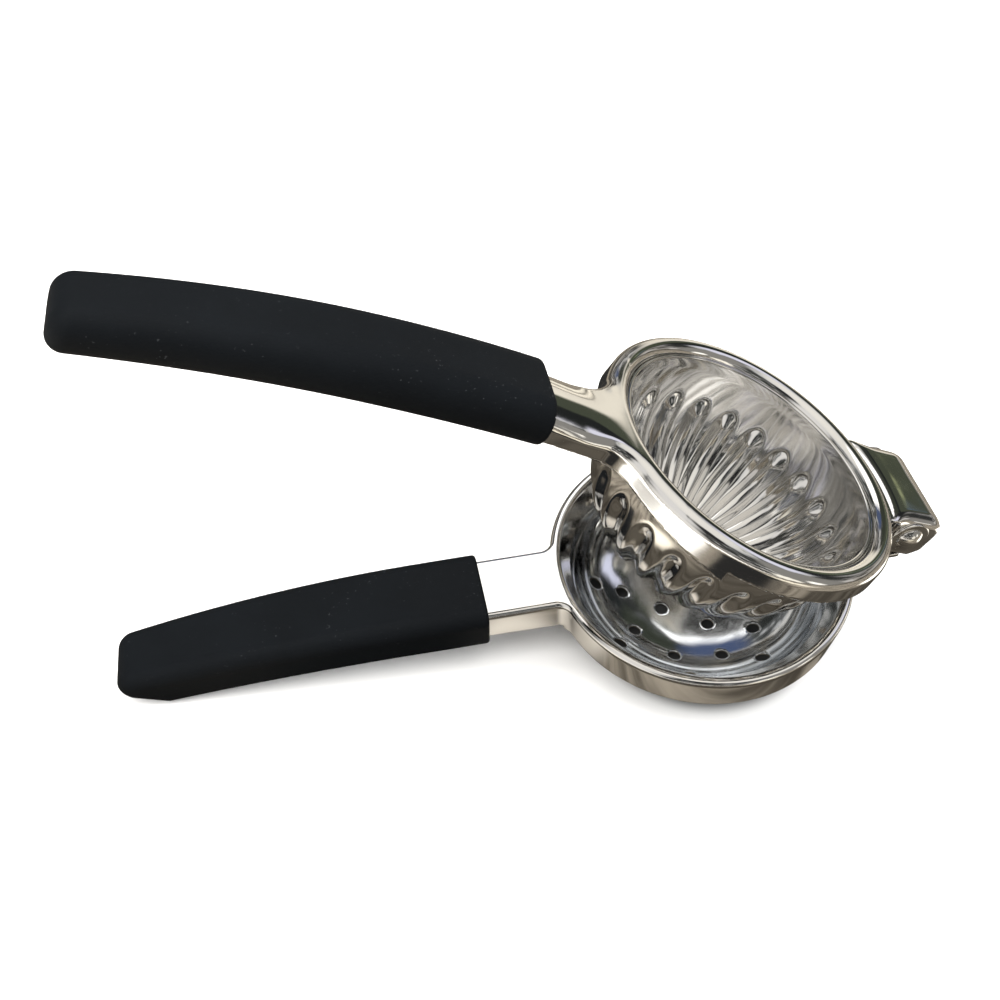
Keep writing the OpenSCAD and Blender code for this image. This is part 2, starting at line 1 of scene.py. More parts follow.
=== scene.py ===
"""Dresses the hinged lemon squeezer: steel jaws, fluted cup, strainer bowl and soft grips.

Every form is a distance field in one jaw's own frame, in millimetres, with z = 0 on the lower rim
and +X toward the hinge. Geometry Nodes mesh each field, and the mesh is then opened about the
rivet and stood on the table, where the packed model has the same piece.
"""

import logging
import math
from dataclasses import dataclass
from enum import Enum
from typing import Callable, ClassVar

import bpy
from bpy.types import ID, ColorRamp, Material, Mesh, Node, NodeSocket, NodeTree, Object, World
from mathutils import Matrix, Vector

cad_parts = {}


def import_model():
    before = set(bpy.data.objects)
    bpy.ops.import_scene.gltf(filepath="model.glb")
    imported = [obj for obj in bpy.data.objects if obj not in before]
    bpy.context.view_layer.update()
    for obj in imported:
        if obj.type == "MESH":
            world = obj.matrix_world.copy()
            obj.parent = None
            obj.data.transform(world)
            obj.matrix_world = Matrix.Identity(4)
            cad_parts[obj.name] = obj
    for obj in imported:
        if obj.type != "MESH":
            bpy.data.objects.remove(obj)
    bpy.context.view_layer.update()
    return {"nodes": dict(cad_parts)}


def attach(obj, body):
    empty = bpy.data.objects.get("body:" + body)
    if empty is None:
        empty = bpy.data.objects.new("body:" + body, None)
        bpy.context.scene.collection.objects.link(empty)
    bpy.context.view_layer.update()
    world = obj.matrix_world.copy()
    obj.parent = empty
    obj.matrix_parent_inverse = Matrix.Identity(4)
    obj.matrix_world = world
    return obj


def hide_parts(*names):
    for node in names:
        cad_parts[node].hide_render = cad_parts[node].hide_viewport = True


LOG = logging.getLogger("lemon_squeezer")
MM = 0.001
COS_45 = math.sqrt(0.5)
Pair = tuple[float, float]
Triple = tuple[float, float, float]
Inputs = dict[str | int, object]


class Jaw(Enum):
    """The two bodies of the squeezer."""

    LOWER = "lower_jaw"
    UPPER = "upper_jaw"


# ---- Node graphs ----


def math_method(operation: str, summary: str, swapped: bool = False) -> Callable[..., "Num"]:
    """Makes a method that adds a Math node to the number's own graph.

    Args:
        operation: The Math node's operation.
        summary: The method's docstring.
        swapped: Whether the number comes after the method's argument.

    Returns:
        The method, which takes the operation's further values, if any.
    """
    def method(self: "Num", *others: "Value") -> "Num":
        """Adds the node."""
        return self.graph.math(operation, *((*others, self) if swapped else (self, *others)))
    method.__doc__ = summary
    return method


@dataclass(frozen=True, eq=False)
class Num:
    """A number that varies over a surface or in space: an output socket of a graph's tree."""

    graph: "Graph"
    socket: NodeSocket

    __add__ = __radd__ = math_method("ADD", "Sum.")
    __sub__ = math_method("SUBTRACT", "Difference.")
    __rsub__ = math_method("SUBTRACT", "Difference with the number on the right.", swapped=True)
    __mul__ = __rmul__ = math_method("MULTIPLY", "Product.")
    __truediv__ = math_method("DIVIDE", "Quotient.")
    __rtruediv__ = math_method("DIVIDE", "Quotient with the number below.", swapped=True)
    __pow__ = math_method("POWER", "Power.")
    __abs__ = math_method("ABSOLUTE", "Size without sign.")
    over = math_method("MAXIMUM", "The larger of two numbers.")
    under = math_method("MINIMUM", "The smaller of two numbers.")
    sin = math_method("SINE", "Sine of an angle in radians.")
    cos = math_method("COSINE", "Cosine of an angle in radians.")
    root = math_method("SQRT", "Square root.")

    def __neg__(self) -> "Num":
        """Opposite."""
        return self * -1.0

    def wrapped(self, half: float) -> "Num":
        """The number brought into -half to half by whole turns of twice half."""
        return self.graph.math("WRAP", self, half, -half)

    def ramp(self, low: float, high: float) -> "Num":
        """Adds a smooth rise from 0 to 1.

        Args:
            low: Where the rise starts.
            high: Where it is full, which may be below its start.

        Returns:
            The rise.
        """
        return self.graph.number("ShaderNodeMapRange", {
            "Value": self, "From Min": low, "From Max": high}, "Result",
            interpolation_type="SMOOTHSTEP")


Value = Num | float | int
Sizes = dict[str, Num]


@dataclass(frozen=True)
class Noise:
    """A noise pattern: its scale in patches per unit of length and the node's other sizes."""

    scale: float
    detail: float = 2.0
    roughness: float = 0.5
    distortion: float = 0.0


@dataclass(frozen=True)
class Graph:
    """Adds nodes to one tree.

    MIX_LOW, MIX_HIGH and MIX_OUT are the places of the Mix node's colours among its sockets,
    whose names aren't unique.
    """

    MIX_LOW: ClassVar[int] = 6
    MIX_HIGH: ClassVar[int] = 7
    MIX_OUT: ClassVar[int] = 2
    tree: NodeTree

    def node(self, kind: str, inputs: Inputs | None = None, **settings: object) -> Node:
        """Adds one node.

        Args:
            kind: The node's type name.
            inputs: Values or links of its sockets, by name or number.
            **settings: Properties set first, with "stops" for a colour ramp's stops.

        Returns:
            The new node.
        """
        made = self.tree.nodes.new(kind)
        for name, value in settings.items():
            if name == "stops":
                self._set_stops(made.color_ramp, value)
            else:
                setattr(made, name, value)
        self.feed(made, inputs or {})
        return made

    def feed(self, node: Node, inputs: Inputs) -> None:
        """Sets or links a node's inputs.

        Args:
            node: The node.
            inputs: Values or links of its sockets, by name or number.
        """
        for name, value in inputs.items():
            link = value.socket if isinstance(value, Num) else value
            if isinstance(link, NodeSocket):
                self.tree.links.new(link, node.inputs[name])
            else:
                node.inputs[name].default_value = link

    @staticmethod
    def _set_stops(ramp: ColorRamp, stops: tuple[tuple[float, tuple[float, ...]], ...]) -> None:
        """Gives a colour ramp its stops.

        Args:
            ramp: The ramp.
            stops: Places and colours, from low to high.
        """
        while len(ramp.elements) < len(stops):
            ramp.elements.new(0.5)
        for element, (place, colour) in zip(ramp.elements, stops):
            element.position = place
            element.color = (*colour, 1.0)

    def out(self, kind: str, inputs: Inputs | None = None, **settings: object) -> NodeSocket:
        """Adds a node and gives its first output."""
        return self.node(kind, inputs, **settings).outputs[0]

    def number(self, kind: str, inputs: Inputs, output: str | int = 0,
               **settings: object) -> Num:
        """Adds a node and wraps one of its outputs as a number."""
        return Num(self, self.node(kind, inputs, **settings).outputs[output])

    def math(self, operation: str, *values: Value) -> Num:
        """Adds a Math node."""
        return self.number("ShaderNodeMath", dict(enumerate(values)), operation=operation)

    def split(self, vector: NodeSocket) -> tuple[Num, Num, Num]:
        """Takes a vector apart into its three numbers."""
        outputs = self.node("ShaderNodeSeparateXYZ", {0: vector}).outputs
        return Num(self, outputs[0]), Num(self, outputs[1]), Num(self, outputs[2])

    def joined(self, *parts: Num) -> NodeSocket:
        """Puts three numbers together into a vector."""
        return self.out("ShaderNodeCombineXYZ", dict(enumerate(parts)))

    def place(self, scale: Triple = (1.0, 1.0, 1.0), output: str = "Object") -> NodeSocket:
        """Texture coordinates, the object's own in metres by default, times a scale."""
        where = self.node("ShaderNodeTexCoord").outputs[output]
        return self.out("ShaderNodeMapping", {"Vector": where, "Scale": scale})

    def noise(self, where: NodeSocket, pattern: Noise) -> Num:
        """Adds a noise from 0 to 1.

        Args:
            where: Its coordinates.
            pattern: Its scale and the node's other sizes.

        Returns:
            The noise.
        """
        return self.number("ShaderNodeTexNoise", {
            "Vector": where, "Scale": pattern.scale, "Detail": pattern.detail,
            "Roughness": pattern.roughness, "Distortion": pattern.distortion}, "Fac")

    def mix_colour(self, share: Value, low: object, high: object) -> NodeSocket:
        """Mixes two colours.

        Args:
            share: 0 for the first colour, 1 for the second.
            low: The first colour, as a socket or three numbers.
            high: The second colour.

        Returns:
            The colour socket of the Mix node.
        """
        low, high = (part if isinstance(part, NodeSocket) else (*part, 1.0)
                     for part in (low, high))
        inputs = {0: share, self.MIX_LOW: low, self.MIX_HIGH: high}
        return self.node("ShaderNodeMix", inputs, data_type="RGBA").outputs[self.MIX_OUT]


@dataclass(frozen=True)
class Point:
    """A place in a jaw's frame, in millimetres."""

    x: Num
    y: Num
    z: Num

    def angle(self) -> Num:
        """Angle of the place about the jaw's axis, in radians."""
        return self.x.graph.math("ARCTAN2", self.y, self.x)


def largest(*values: Value) -> Num:
    """Finds the largest of several numbers.

    Args:
        *values: The numbers, the first of them a Num.

    Returns:
        The largest.
    """
    best = values[0]
    for value in values[1:]:
        best = best.over(value)
    return best


def length(a: Num, b: Num) -> Num:
    """Length of the vector with two sides a and b."""
    return (a * a + b * b).root()


def rounded(a: Num, b: Num, radius: Value) -> Num:
    """Intersection of two forms, with the edge between them rounded."""
    deep_a, deep_b = a + radius, b + radius
    return deep_a.over(deep_b).under(0.0) + length(deep_a.over(0.0), deep_b.over(0.0)) - radius


def filleted(a: Num, b: Num, radius: Value) -> Num:
    """Union of two forms, with the corner between them filled to a radius."""
    near_a, near_b = a - radius, b - radius
    return near_a.under(near_b).over(0.0) - length(near_a.under(0.0), near_b.under(0.0)) + radius


def walled(outside: Num, thickness: Value) -> Num:
    """The sheet of a thickness that lies just inside a form's skin."""
    return abs(outside + thickness * 0.5) - thickness * 0.5


def added(name: str, data: ID) -> Object:
    """Adds an object to the scene.

    Args:
        name: Its name.
        data: Its mesh, camera or light.

    Returns:
        The new object.
    """
    made = bpy.data.objects.new(name, data)
    bpy.context.scene.collection.objects.link(made)
    return made


def emptied(owner: Material | World) -> Graph:
    """Gives a material or a world an empty node tree.

    Args:
        owner: The material or world.

    Returns:
        The graph of its tree.
    """
    owner.use_nodes = True
    owner.node_tree.nodes.clear()
    return Graph(owner.node_tree)


@dataclass(frozen=True)
class Block:
    """The space that a field is meshed in, and the size of its cells, in millimetres."""

    low: Triple
    high: Triple
    cell: float


def new_tree(name: str, floats: dict[str, float], extra: list[tuple[str, str, str]]) -> NodeTree:
    """Makes a node group with named number inputs.

    Args:
        name: The group's name.
        floats: Names and first values of the number inputs.
        extra: Further sockets, each as a name, "INPUT" or "OUTPUT", and a socket type.

    Returns:
        The new tree.
    """
    tree = bpy.data.node_groups.new(name, "GeometryNodeTree")
    for socket, way, socket_type in extra:
        tree.interface.new_socket(name=socket, in_out=way, socket_type=socket_type)
    for socket, value in floats.items():
        made = tree.interface.new_socket(
            name=socket, in_out="INPUT", socket_type="NodeSocketFloat")
        made.default_value = value
    return tree


def baked(graph: Graph, shape: NodeSocket, material: Material, sizes: dict[str, float],
          name: str) -> Mesh:
    """Ends a tree, runs it on a carrier object and keeps the result as a plain mesh.

    Args:
        graph: The main graph.
        shape: Its last geometry socket.
        material: What the mesh is made of.
        sizes: Values of the tree's named inputs.
        name: Name of the mesh.

    Returns:
        The baked mesh.
    """
    whole = graph.out("GeometryNodeRealizeInstances", {0: shape})
    smooth = graph.out("GeometryNodeSetShadeSmooth", {0: whole})
    clad = graph.out("GeometryNodeSetMaterial", {"Geometry": smooth, "Material": material})
    graph.node("NodeGroupOutput", {0: clad})
    carrier = added(f"{name}.carrier", bpy.data.meshes.new(f"{name}.carrier"))
    modifier = carrier.modifiers.new("form", "NODES")
    modifier.node_group = graph.tree
    for item in graph.tree.interface.items_tree:
        if item.in_out == "INPUT" and item.name in sizes:
            modifier[item.identifier] = float(sizes[item.name])
    evaluated = carrier.evaluated_get(bpy.context.evaluated_depsgraph_get())
    result = bpy.data.meshes.new_from_object(evaluated)
    carrier.modifiers.remove(modifier)
    bpy.data.objects.remove(carrier)
    result.name = name
    return result


# ---- The stance ----


@dataclass(frozen=True)
class Stance:
    """How the two jaws stand open on the table, with the sizes that set it, in millimetres."""

    open_angle: float = 26.0
    pin_x: float = 51.5
    pin_z: float = 11.7
    foot_z: float = -27.1
    seat_r: float = 36.2
    bowl_depth: float = 26.2
    wide_power: float = 2.34
    deep_power: float = 2.467
    heel_x: float = 148.5
    heel_z: float = -17.1811

    @property
    def tilt(self) -> float:
        """Tilt of the lower jaw on the table, in radians."""
        return math.atan((self.heel_z - self.foot_z) / self.heel_x)

    @property
    def foot_x(self) -> float:
        """Where the tilted bowl touches the table.

        Returns:
            The place's x in the lower jaw's frame.
        """
        rise = math.tan(self.tilt) * self.seat_r
        slope = rise * self.deep_power / (self.wide_power * self.bowl_depth)
        return -self.seat_r * slope ** (1.0 / (self.wide_power - 1.0))

    def placed(self, jaw: Jaw) -> Matrix:
        """Finds how a jaw's frame lies in the packed model's.

        Args:
            jaw: The jaw.

        Returns:
            The matrix from the jaw's frame, in millimetres, to the packed model's, in metres.
        """
        up = self.foot_x * math.tan(self.tilt) - self.foot_z
        lift = Matrix.Translation((-self.foot_x, 0.0, up))
        stood = Matrix.Scale(MM, 4) @ Matrix.Rotation(-self.tilt, 4, "Y") @ lift
        if jaw is Jaw.LOWER:
            return stood
        pin = Vector((self.pin_x, 0.0, self.pin_z))
        turn = Matrix.Rotation(math.radians(self.open_angle), 4, "Y")
        return stood @ Matrix.Translation(pin) @ turn @ Matrix.Translation(-pin)


@dataclass
class Piece:
    """A visible piece, with its name, the packed node it stands for, its slot and its body."""

    stance: Stance
    NAME: ClassVar[str]
    NODE: ClassVar[str]
    SLOT: ClassVar[str]
    JAW: ClassVar[Jaw]

    def build(self, material: Material) -> Object:
        """Meshes and places the piece.

        Args:
            material: What it is made of.

        Returns:
            The new object.
        """
        raise NotImplementedError

    def placed(self, mesh: Mesh) -> Object:
        """Stands the piece's mesh on its body.

        Args:
            mesh: The mesh, in the jaw's frame.

        Returns:
            The new object.
        """
        mesh.transform(self.stance.placed(self.JAW))
        made = added(self.NAME, mesh)
        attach(made, self.JAW.value)
        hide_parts(self.NODE)
        return made


class FieldPiece(Piece):
    """A piece whose form is a distance field in its jaw's frame, meshed with Geometry Nodes.

    BLOCK is the space that is meshed, and SIZES gives the tree's named inputs the attributes that
    hold their sizes. STEP is the distance over which the field's slope is measured, BAND how far
    from the skin the volume keeps the field, ROUNDS how often the points are moved onto the skin,
    REACH how far each time, and FLATTEST the least square of the slope that is divided by.
    """

    BLOCK: ClassVar[Block]
    SIZES: ClassVar[dict[str, str]]
    STEP = 0.04
    BAND = 2.0
    ROUNDS = 2
    REACH = 0.3
    FLATTEST = 0.05

    @property
    def block(self) -> Block:
        """The space that the field is meshed in."""
        return self.BLOCK

    def from_pin(self, p: Point) -> Num:
        """Distance of a place from the rivet's axis."""
        return length(p.x - self.stance.pin_x, p.z - self.stance.pin_z)

    def distance(self, p: Point, sizes: Sizes) -> Num:
        """Writes the form's field.

        Args:
            p: A place in the jaw's frame.
            sizes: The tree's named sizes.

        Returns:
            The place's distance from the skin, negative inside.
        """
        raise NotImplementedError

    def _field(self, sizes: dict[str, float]) -> NodeTree:
        """Makes the node group that gives a place's distance.

        Args:
            sizes: Names and values of its number inputs.

        Returns:
            The group.
        """
        tree = new_tree(f"{self.NAME}.field", sizes, [
            ("Point", "INPUT", "NodeSocketVector"), ("Distance", "OUTPUT", "NodeSocketFloat")])
        graph = Graph(tree)
        source = graph.node("NodeGroupInput")
        place = Point(*graph.split(source.outputs["Point"]))
        result = self.distance(place, {key: Num(graph, source.outputs[key]) for key in sizes})
        graph.node("NodeGroupOutput", {"Distance": result})
        return tree

    def _settled(self, graph: Graph, geometry: NodeSocket, place: NodeSocket,
                 distance_at: Callable[[NodeSocket], Num]) -> NodeSocket:
        """Moves a mesh's points along the field's slope onto its zero surface.

        Args:
            graph: The main graph.
            geometry: The mesh.
            place: Where its points are.
            distance_at: Gives the field at a place.

        Returns:
            The geometry socket of the moved mesh.
        """
        here = distance_at(place)
        rise = []
        for axis in range(3):
            shift = [0.0, 0.0, 0.0]
            shift[axis] = self.STEP
            moved = graph.out("ShaderNodeVectorMath", {0: place, 1: shift}, operation="ADD")
            rise.append((distance_at(moved) - here) / self.STEP)
        steep = (rise[0] * rise[0] + rise[1] * rise[1] + rise[2] * rise[2]).over(self.FLATTEST)
        back = (here / steep * -1.0).over(-self.REACH).under(self.REACH)
        offset = graph.joined(*(part * back for part in rise))
        return graph.out("GeometryNodeSetPosition", {"Geometry": geometry, "Offset": offset})

    def build(self, material: Material) -> Object:
        """Meshes and places the piece.

        Args:
            material: What it is made of.

        Returns:
            The new object.
        """
        sizes = {name: getattr(self, held) for name, held in self.SIZES.items()}
        field = self._field(sizes)
        tree = new_tree(f"{self.NAME}.form", sizes, [("Geometry", "OUTPUT", "NodeSocketGeometry")])
        graph = Graph(tree)
        source = graph.node("NodeGroupInput")
        place = graph.out("GeometryNodeInputPosition")

        def distance_at(where: NodeSocket) -> Num:
            """The field at a place."""
            inputs = {"Point": where, **{key: source.outputs[key] for key in sizes}}
            return graph.number("GeometryNodeGroup", inputs, "Distance", node_tree=field)

        inside = (-distance_at(place)).over(-self.BAND).under(self.BAND) + self.BAND + 1.0
        low, high, cell = self.block.low, self.block.high, self.block.cell
        counts = {f"Resolution {axis}": max(2, round((high[i] - low[i]) / cell) + 1)
                  for i, axis in enumerate("XYZ")}
        volume = graph.out("GeometryNodeVolumeCube", {
            "Density": inside, "Min": low, "Max": high, **counts})
        shape = graph.out("GeometryNodeVolumeToMesh", {
            "Volume": volume, "Threshold": self.BAND + 1.0}, resolution_mode="GRID")
        for _ in range(self.ROUNDS):
            shape = self._settled(graph, shape, place, distance_at)
        return self.placed(baked(graph, shape, material, sizes, self.NAME))


# ---- Finishes ----


@dataclass(frozen=True)
class Finish:
    """A surface finish, from which a material is made."""

    name: str
    colour: Triple
    roughness: float

    def shader(self, metallic: float) -> tuple[Material, Graph, Node]:
        """Starts a material.

        Args:
            metallic: 1 for a metal, 0 otherwise.

        Returns:
            The material, its graph and its Principled shader.
        """
        material = bpy.data.materials.new(self.name)
        graph = emptied(material)
        shader = graph.node("ShaderNodeBsdfPrincipled", {
            "Base Color": (*self.colour, 1.0), "Roughness": self.roughness, "Metallic": metallic})
        graph.node("ShaderNodeOutputMaterial", {"Surface": shader.outputs[0]})
        material.diffuse_color = (*self.colour, 1.0)
        return material, graph, shader

    def tinted(self, factor: float) -> Triple:
        """The finish's colour times a factor."""
        return tuple(part * factor for part in self.colour)

    @staticmethod
    def bumped(graph: Graph, height: Num) -> NodeSocket:
        """The normal over a relief with a height in metres."""
        return graph.out("ShaderNodeBump", {"Height": height, "Distance": 1.0, "Strength": 1.0})


@dataclass(frozen=True)
class PolishedSteel(Finish):
    """Pressed sheet polished to a mirror, with faint draw lines, haze and waves from the press."""

    wave: float = 0.00025
    waves: Noise = Noise(55.0, 1.0, 0.4)
    haze: float = 0.06
    hazes: Noise = Noise(140.0, 4.0, 0.6)
    haze_span: Pair = (0.45, 0.75)
    line: float = 0.02
    line_h: float = 0.0000012
    lines: Noise = Noise(2600.0, 3.0, 0.7)
    smear: float = 0.93
    smears: Noise = Noise(30.0, 3.0, 0.55, 0.6)
    smear_span: Pair = (0.3, 0.7)
    stretch: float = 0.12
    turn_l: float = 0.002
    turned: Matrix | None = None

    def brushing(self, graph: Graph) -> NodeSocket:
        """Lays the polishing lines along the handles, or round the jaw's axis on a turned piece.

        Args:
            graph: The material's graph.

        Returns:
            Coordinates that are stretched along the lines.
        """
        if self.turned is None:
            return graph.place((self.stretch, 1.0, 1.0))
        own = graph.out("ShaderNodeMapping", {
            "Vector": graph.place(), "Location": self.turned.translation,
            "Rotation": self.turned.to_quaternion().to_euler()}, vector_type="TEXTURE")
        here = Point(*graph.split(own))
        return graph.joined(length(here.x, here.y), here.z, here.angle() * self.turn_l)

    def material(self) -> Material:
        """Makes the material.

        Returns:
            A metal whose roughness, tint and normal vary as on polished sheet.
        """
        made, graph, shader = self.shader(1.0)
        here = graph.place()
        waves = graph.noise(here, self.waves)
        hazes = graph.noise(here, self.hazes).ramp(*self.haze_span)
        lines = graph.noise(self.brushing(graph), self.lines)
        smears = graph.noise(here, self.smears).ramp(*self.smear_span)
        graph.feed(shader, {
            "Base Color": graph.mix_colour(smears, self.tinted(self.smear), self.colour),
            "Roughness": self.roughness + hazes * self.haze + (lines - 0.5) * self.line,
            "Normal": self.bumped(graph, waves * self.wave + lines * self.line_h)})
        return made


@dataclass(frozen=True)
class Silicone(Finish):
    """Matte moulded silicone with a fine grain, dust specks and rubbed patches."""

    speck: float = 0.35
    grain: Noise = Noise(5200.0, 2.0, 0.6)
    grain_h: float = 0.00002
    grain_dull: float = 0.1
    cloud: Noise = Noise(60.0, 4.0, 0.6)
    cloud_h: float = 0.00004
    cloud_dull: float = 0.14
    wear: float = 1.25
    wear_span: Pair = (0.35, 0.75)
    dust: Noise = Noise(1500.0, 1.0, 0.3)
    dust_span: Pair = (0.72, 0.78)
    drift: Noise = Noise(90.0)
    drift_span: Pair = (0.4, 0.7)
    dust_colour: Triple = (0.25, 0.26, 0.28)
    shine: float = 0.12

    def material(self) -> Material:
        """Makes the material.

        Returns:
            A dark matte material with grain, specks and wear.
        """
        made, graph, shader = self.shader(0.0)
        here = graph.place()
        grain = graph.noise(here, self.grain)
        cloud = graph.noise(here, self.cloud)
        dust = graph.noise(here, self.dust).ramp(*self.dust_span)
        dust = dust * graph.noise(here, self.drift).ramp(*self.drift_span)
        rubbed = cloud.ramp(*self.wear_span)
        worn = graph.mix_colour(rubbed, self.colour, self.tinted(self.wear))
        dull = self.roughness + (cloud - 0.5) * self.cloud_dull + (grain - 0.5) * self.grain_dull
        graph.feed(shader, {
            "Base Color": graph.mix_colour(dust * self.speck, worn, self.dust_colour),
            "Roughness": dull,
            "Normal": self.bumped(graph, grain * self.grain_h + cloud * self.cloud_h),
            "Specular IOR Level": self.shine})
        return made


@dataclass(frozen=True)
class Nylon(Finish):
    """Dull moulded nylon of the washers between the ears."""

    mottle: Noise = Noise(900.0, 3.0, 0.6)
    mottle_span: Pair = (0.3, 0.7)
    mottle_dull: float = 0.2
    light: float = 1.6

    def material(self) -> Material:
        """Makes the material.

        Returns:
            A dark dull plastic with a fine mottle.
        """
        made, graph, shader = self.shader(0.0)
        mottle = graph.noise(graph.place(), self.mottle)
        share = mottle.ramp(*self.mottle_span)
        graph.feed(shader, {
            "Base Color": graph.mix_colour(share, self.colour, self.tinted(self.light)),
            "Roughness": self.roughness + (mottle - 0.5) * self.mottle_dull})
        return made


# ---- Upper jaw ----


def arch(x: Num, top: float = 20.3, mid: float = 104.0, front_r: float = 500.0,
         rear_r: float = 333.0) -> Num:
    """Finds how high the upper handle's middle line lies.

    Args:
        x: Place along the handle.
        top: Height of the line's top.
        mid: Distance of the top from the ring's axis.
        front_r: Radius of the line in front of its top.
        rear_r: Radius of the line behind its top.

    Returns:
        The line's height.
    """
    away = x + mid
    front = away.over(0.0) ** 2.0 / (2.0 * front_r)
    return top - front - (-away).over(0.0) ** 2.0 / (2.0 * rear_r)


def narrowing(x: Num, width: float, tip: float, mouth: float, end: float) -> Num:
    """Half width of a handle's steel, full up to the grip's mouth and narrower to its end."""
    share = (-x - mouth).over(0.0) / (end - mouth)
    return width / 2.0 - share * ((width - tip) / 2.0)


@dataclass
class UpperFrame(FieldPiece):
    """Ring with a rolled bead, crowned handle and the bracket that takes the rivet."""

    NAME, NODE, SLOT, JAW = "upper_frame_sheet", "upper_frame", "frame_steel", Jaw.UPPER
    BLOCK = Block((-157.0, -43.6, 4.0), (62.4, 43.6, 25.0), 0.45)
    SIZES = {"Sheet": "sheet", "Corner radius": "corner_r", "Bore": "bore"}
    sheet: float = 1.5
    ring_lift: float = 12.2
    ring_h: float = 6.8
    crest_r: float = 39.0
    bead_r: float = 3.0
    flare: float = 0.3
    band_h: float = 1.1
    shank_w: float = 17.8
    splay: float = 0.055
    bar_in: float = 36.0
    slope: float = 0.1525
    slope_gap: float = 0.5
    slope_soft: float = 3.0
    crown_gap: float = 1.0
    crown_full: float = 15.0
    shank_h: float = 8.0
    crown_h: float = 2.4
    edge_r: float = 2.0
    corner_r: float = 6.0
    mouth_x: float = 63.0
    end_x: float = 155.0
    tip_w: float = 12.0
    bracket_w: float = 28.0
    plate_rise: float = 0.3
    fold_r: float = 3.6
    lip_fold_r: float = 7.0
    plate_corner_r: float = 2.5
    plate_in: float = 20.0
    fold_l: float = 2.5
    flare_x: float = 49.0
    flare_l: float = 9.0
    flare_w: float = 3.0
    flare_most: float = 1.2
    lip_x: float = 61.8
    lip_z: float = 14.0
    ear_z: float = 5.2
    ear_back: float = 43.5
    ear_front: float = 59.8
    chamfer: float = 2.6
    bore: float = 5.04
    groove: float = 1.5
    groove_at: float = 3.3
    groove_w: float = 1.7
    groove_r: float = 0.9
    root_drop: float = 0.6
    root_r: float = 1.2
    slack: float = 0.2
    side_lap: float = 0.3
    lip_lap: float = 0.1
    cut_r: float = 0.3

    @property
    def top(self) -> float:
        """Height of the bead's crest."""
        return self.ring_lift + self.ring_h

    def ring_and_handle(self, p: Point, r: Num, corner_r: Num) -> Num:
        """The ring and the handle as one form that runs down without end.

        Its plan has filled corners, its top flows from the bead's crest into the handle's crown,
        and one rounded edge runs round both.

        Args:
            p: A place.
            r: Its distance from the ring's axis.
            corner_r: Radius of the filled corners in plan.

        Returns:
            Its distance.
        """
        bead_z = self.top - self.bead_r
        down = (bead_z - p.z).over(0.0)
        rim = r - self.crest_r - self.bead_r - down * (self.flare / (bead_z - self.ring_lift))
        half = narrowing(p.x, self.shank_w, self.tip_w, self.mouth_x, self.end_x)
        half = half + (p.x + self.mouth_x).over(0.0) * self.splay
        bar = largest(abs(p.y) - half, p.x + self.bar_in, -p.x - self.end_x)
        plan = filleted(rim, bar, corner_r)
        full = self.shank_w / 2.0
        crown_r = (full ** 2 + self.crown_h ** 2) / (2.0 * self.crown_h)
        fall = (p.y * p.y).under(full * full) / (2.0 * crown_r)
        along = -p.x - self.crest_r - self.slope_gap
        rise = ((along * along + self.slope_soft ** 2).root() + along) * (self.slope / 2.0)
        rise = rise.under(arch(p.x) + (self.shank_h / 2.0 - self.top)).over(0.0)
        away = (-p.x).ramp(self.crest_r + self.crown_gap, self.crest_r + self.crown_full)
        high = p.z - self.top - rise + away * fall
        outer = rounded(plan, high, self.bead_r - away * (self.bead_r - self.edge_r))
        inner = length((self.crest_r - r).over(0.0), (p.z - bead_z - rise).over(0.0)) - self.bead_r
        within = p.x.graph.math("LESS_THAN", r, self.crest_r)
        return outer + within * (inner - outer)

    def plate(self, p: Point, r: Num) -> Num:
        """Forms the bracket as a solid that runs down without end, with a groove round the ring.

        Args:
            p: A place.
            r: Its distance from the ring's axis.

        Returns:
            Its distance from the solid.
        """
        dip = (r - self.crest_r - self.groove_at) / self.groove_w
        high = p.z - self.top - self.plate_rise + self.groove / (1.0 + dip * dip)
        near = ((self.flare_x - p.x) / self.flare_l).over(0.0).under(self.flare_most)
        side = abs(p.y) - self.bracket_w / 2.0 - near * near * self.flare_w
        sides = rounded(side, high, self.fold_r)
        front = rounded(p.x - self.lip_x, high, self.lip_fold_r)
        whole = rounded(sides, front, self.plate_corner_r)
        return largest(whole, self.crest_r + self.crown_gap - r, self.plate_in - p.x)

    def kept(self, p: Point, r: Num) -> Num:
        """Cuts the sheet's lower edges.

        Args:
            p: A place.
            r: Its distance from the ring's axis.

        Returns:
            Its distance from the space that may hold steel.
        """
        past_ring = r - self.crest_r - self.bead_r - self.flare - self.slack
        ring_zone = (self.ring_lift - p.z).over(past_ring)
        handle_zone = (arch(p.x) - self.shank_h / 2.0 - p.z).over(p.x + self.plate_in)
        foot = self.ear_z - p.z
        slant_front = (p.x - self.ear_front + self.chamfer + foot) * COS_45
        slant_back = (self.ear_back + self.chamfer - p.x + foot) * COS_45
        ear = largest(foot, slant_front, slant_back, self.ear_back - p.x, p.x - self.ear_front)
        ear = filleted(ear, self.top - self.sheet - self.root_drop - p.z, self.root_r)
        fold_in = self.bracket_w / 2.0 - self.fold_l
        side_zone = ear.over(fold_in - self.side_lap - abs(p.y))
        lip_zone = (self.lip_z - p.z).over(abs(p.y) - fold_in - self.lip_lap)
        bracket_zone = side_zone.under(lip_zone).over(self.plate_in - p.x)
        return ring_zone.under(handle_zone).under(bracket_zone)

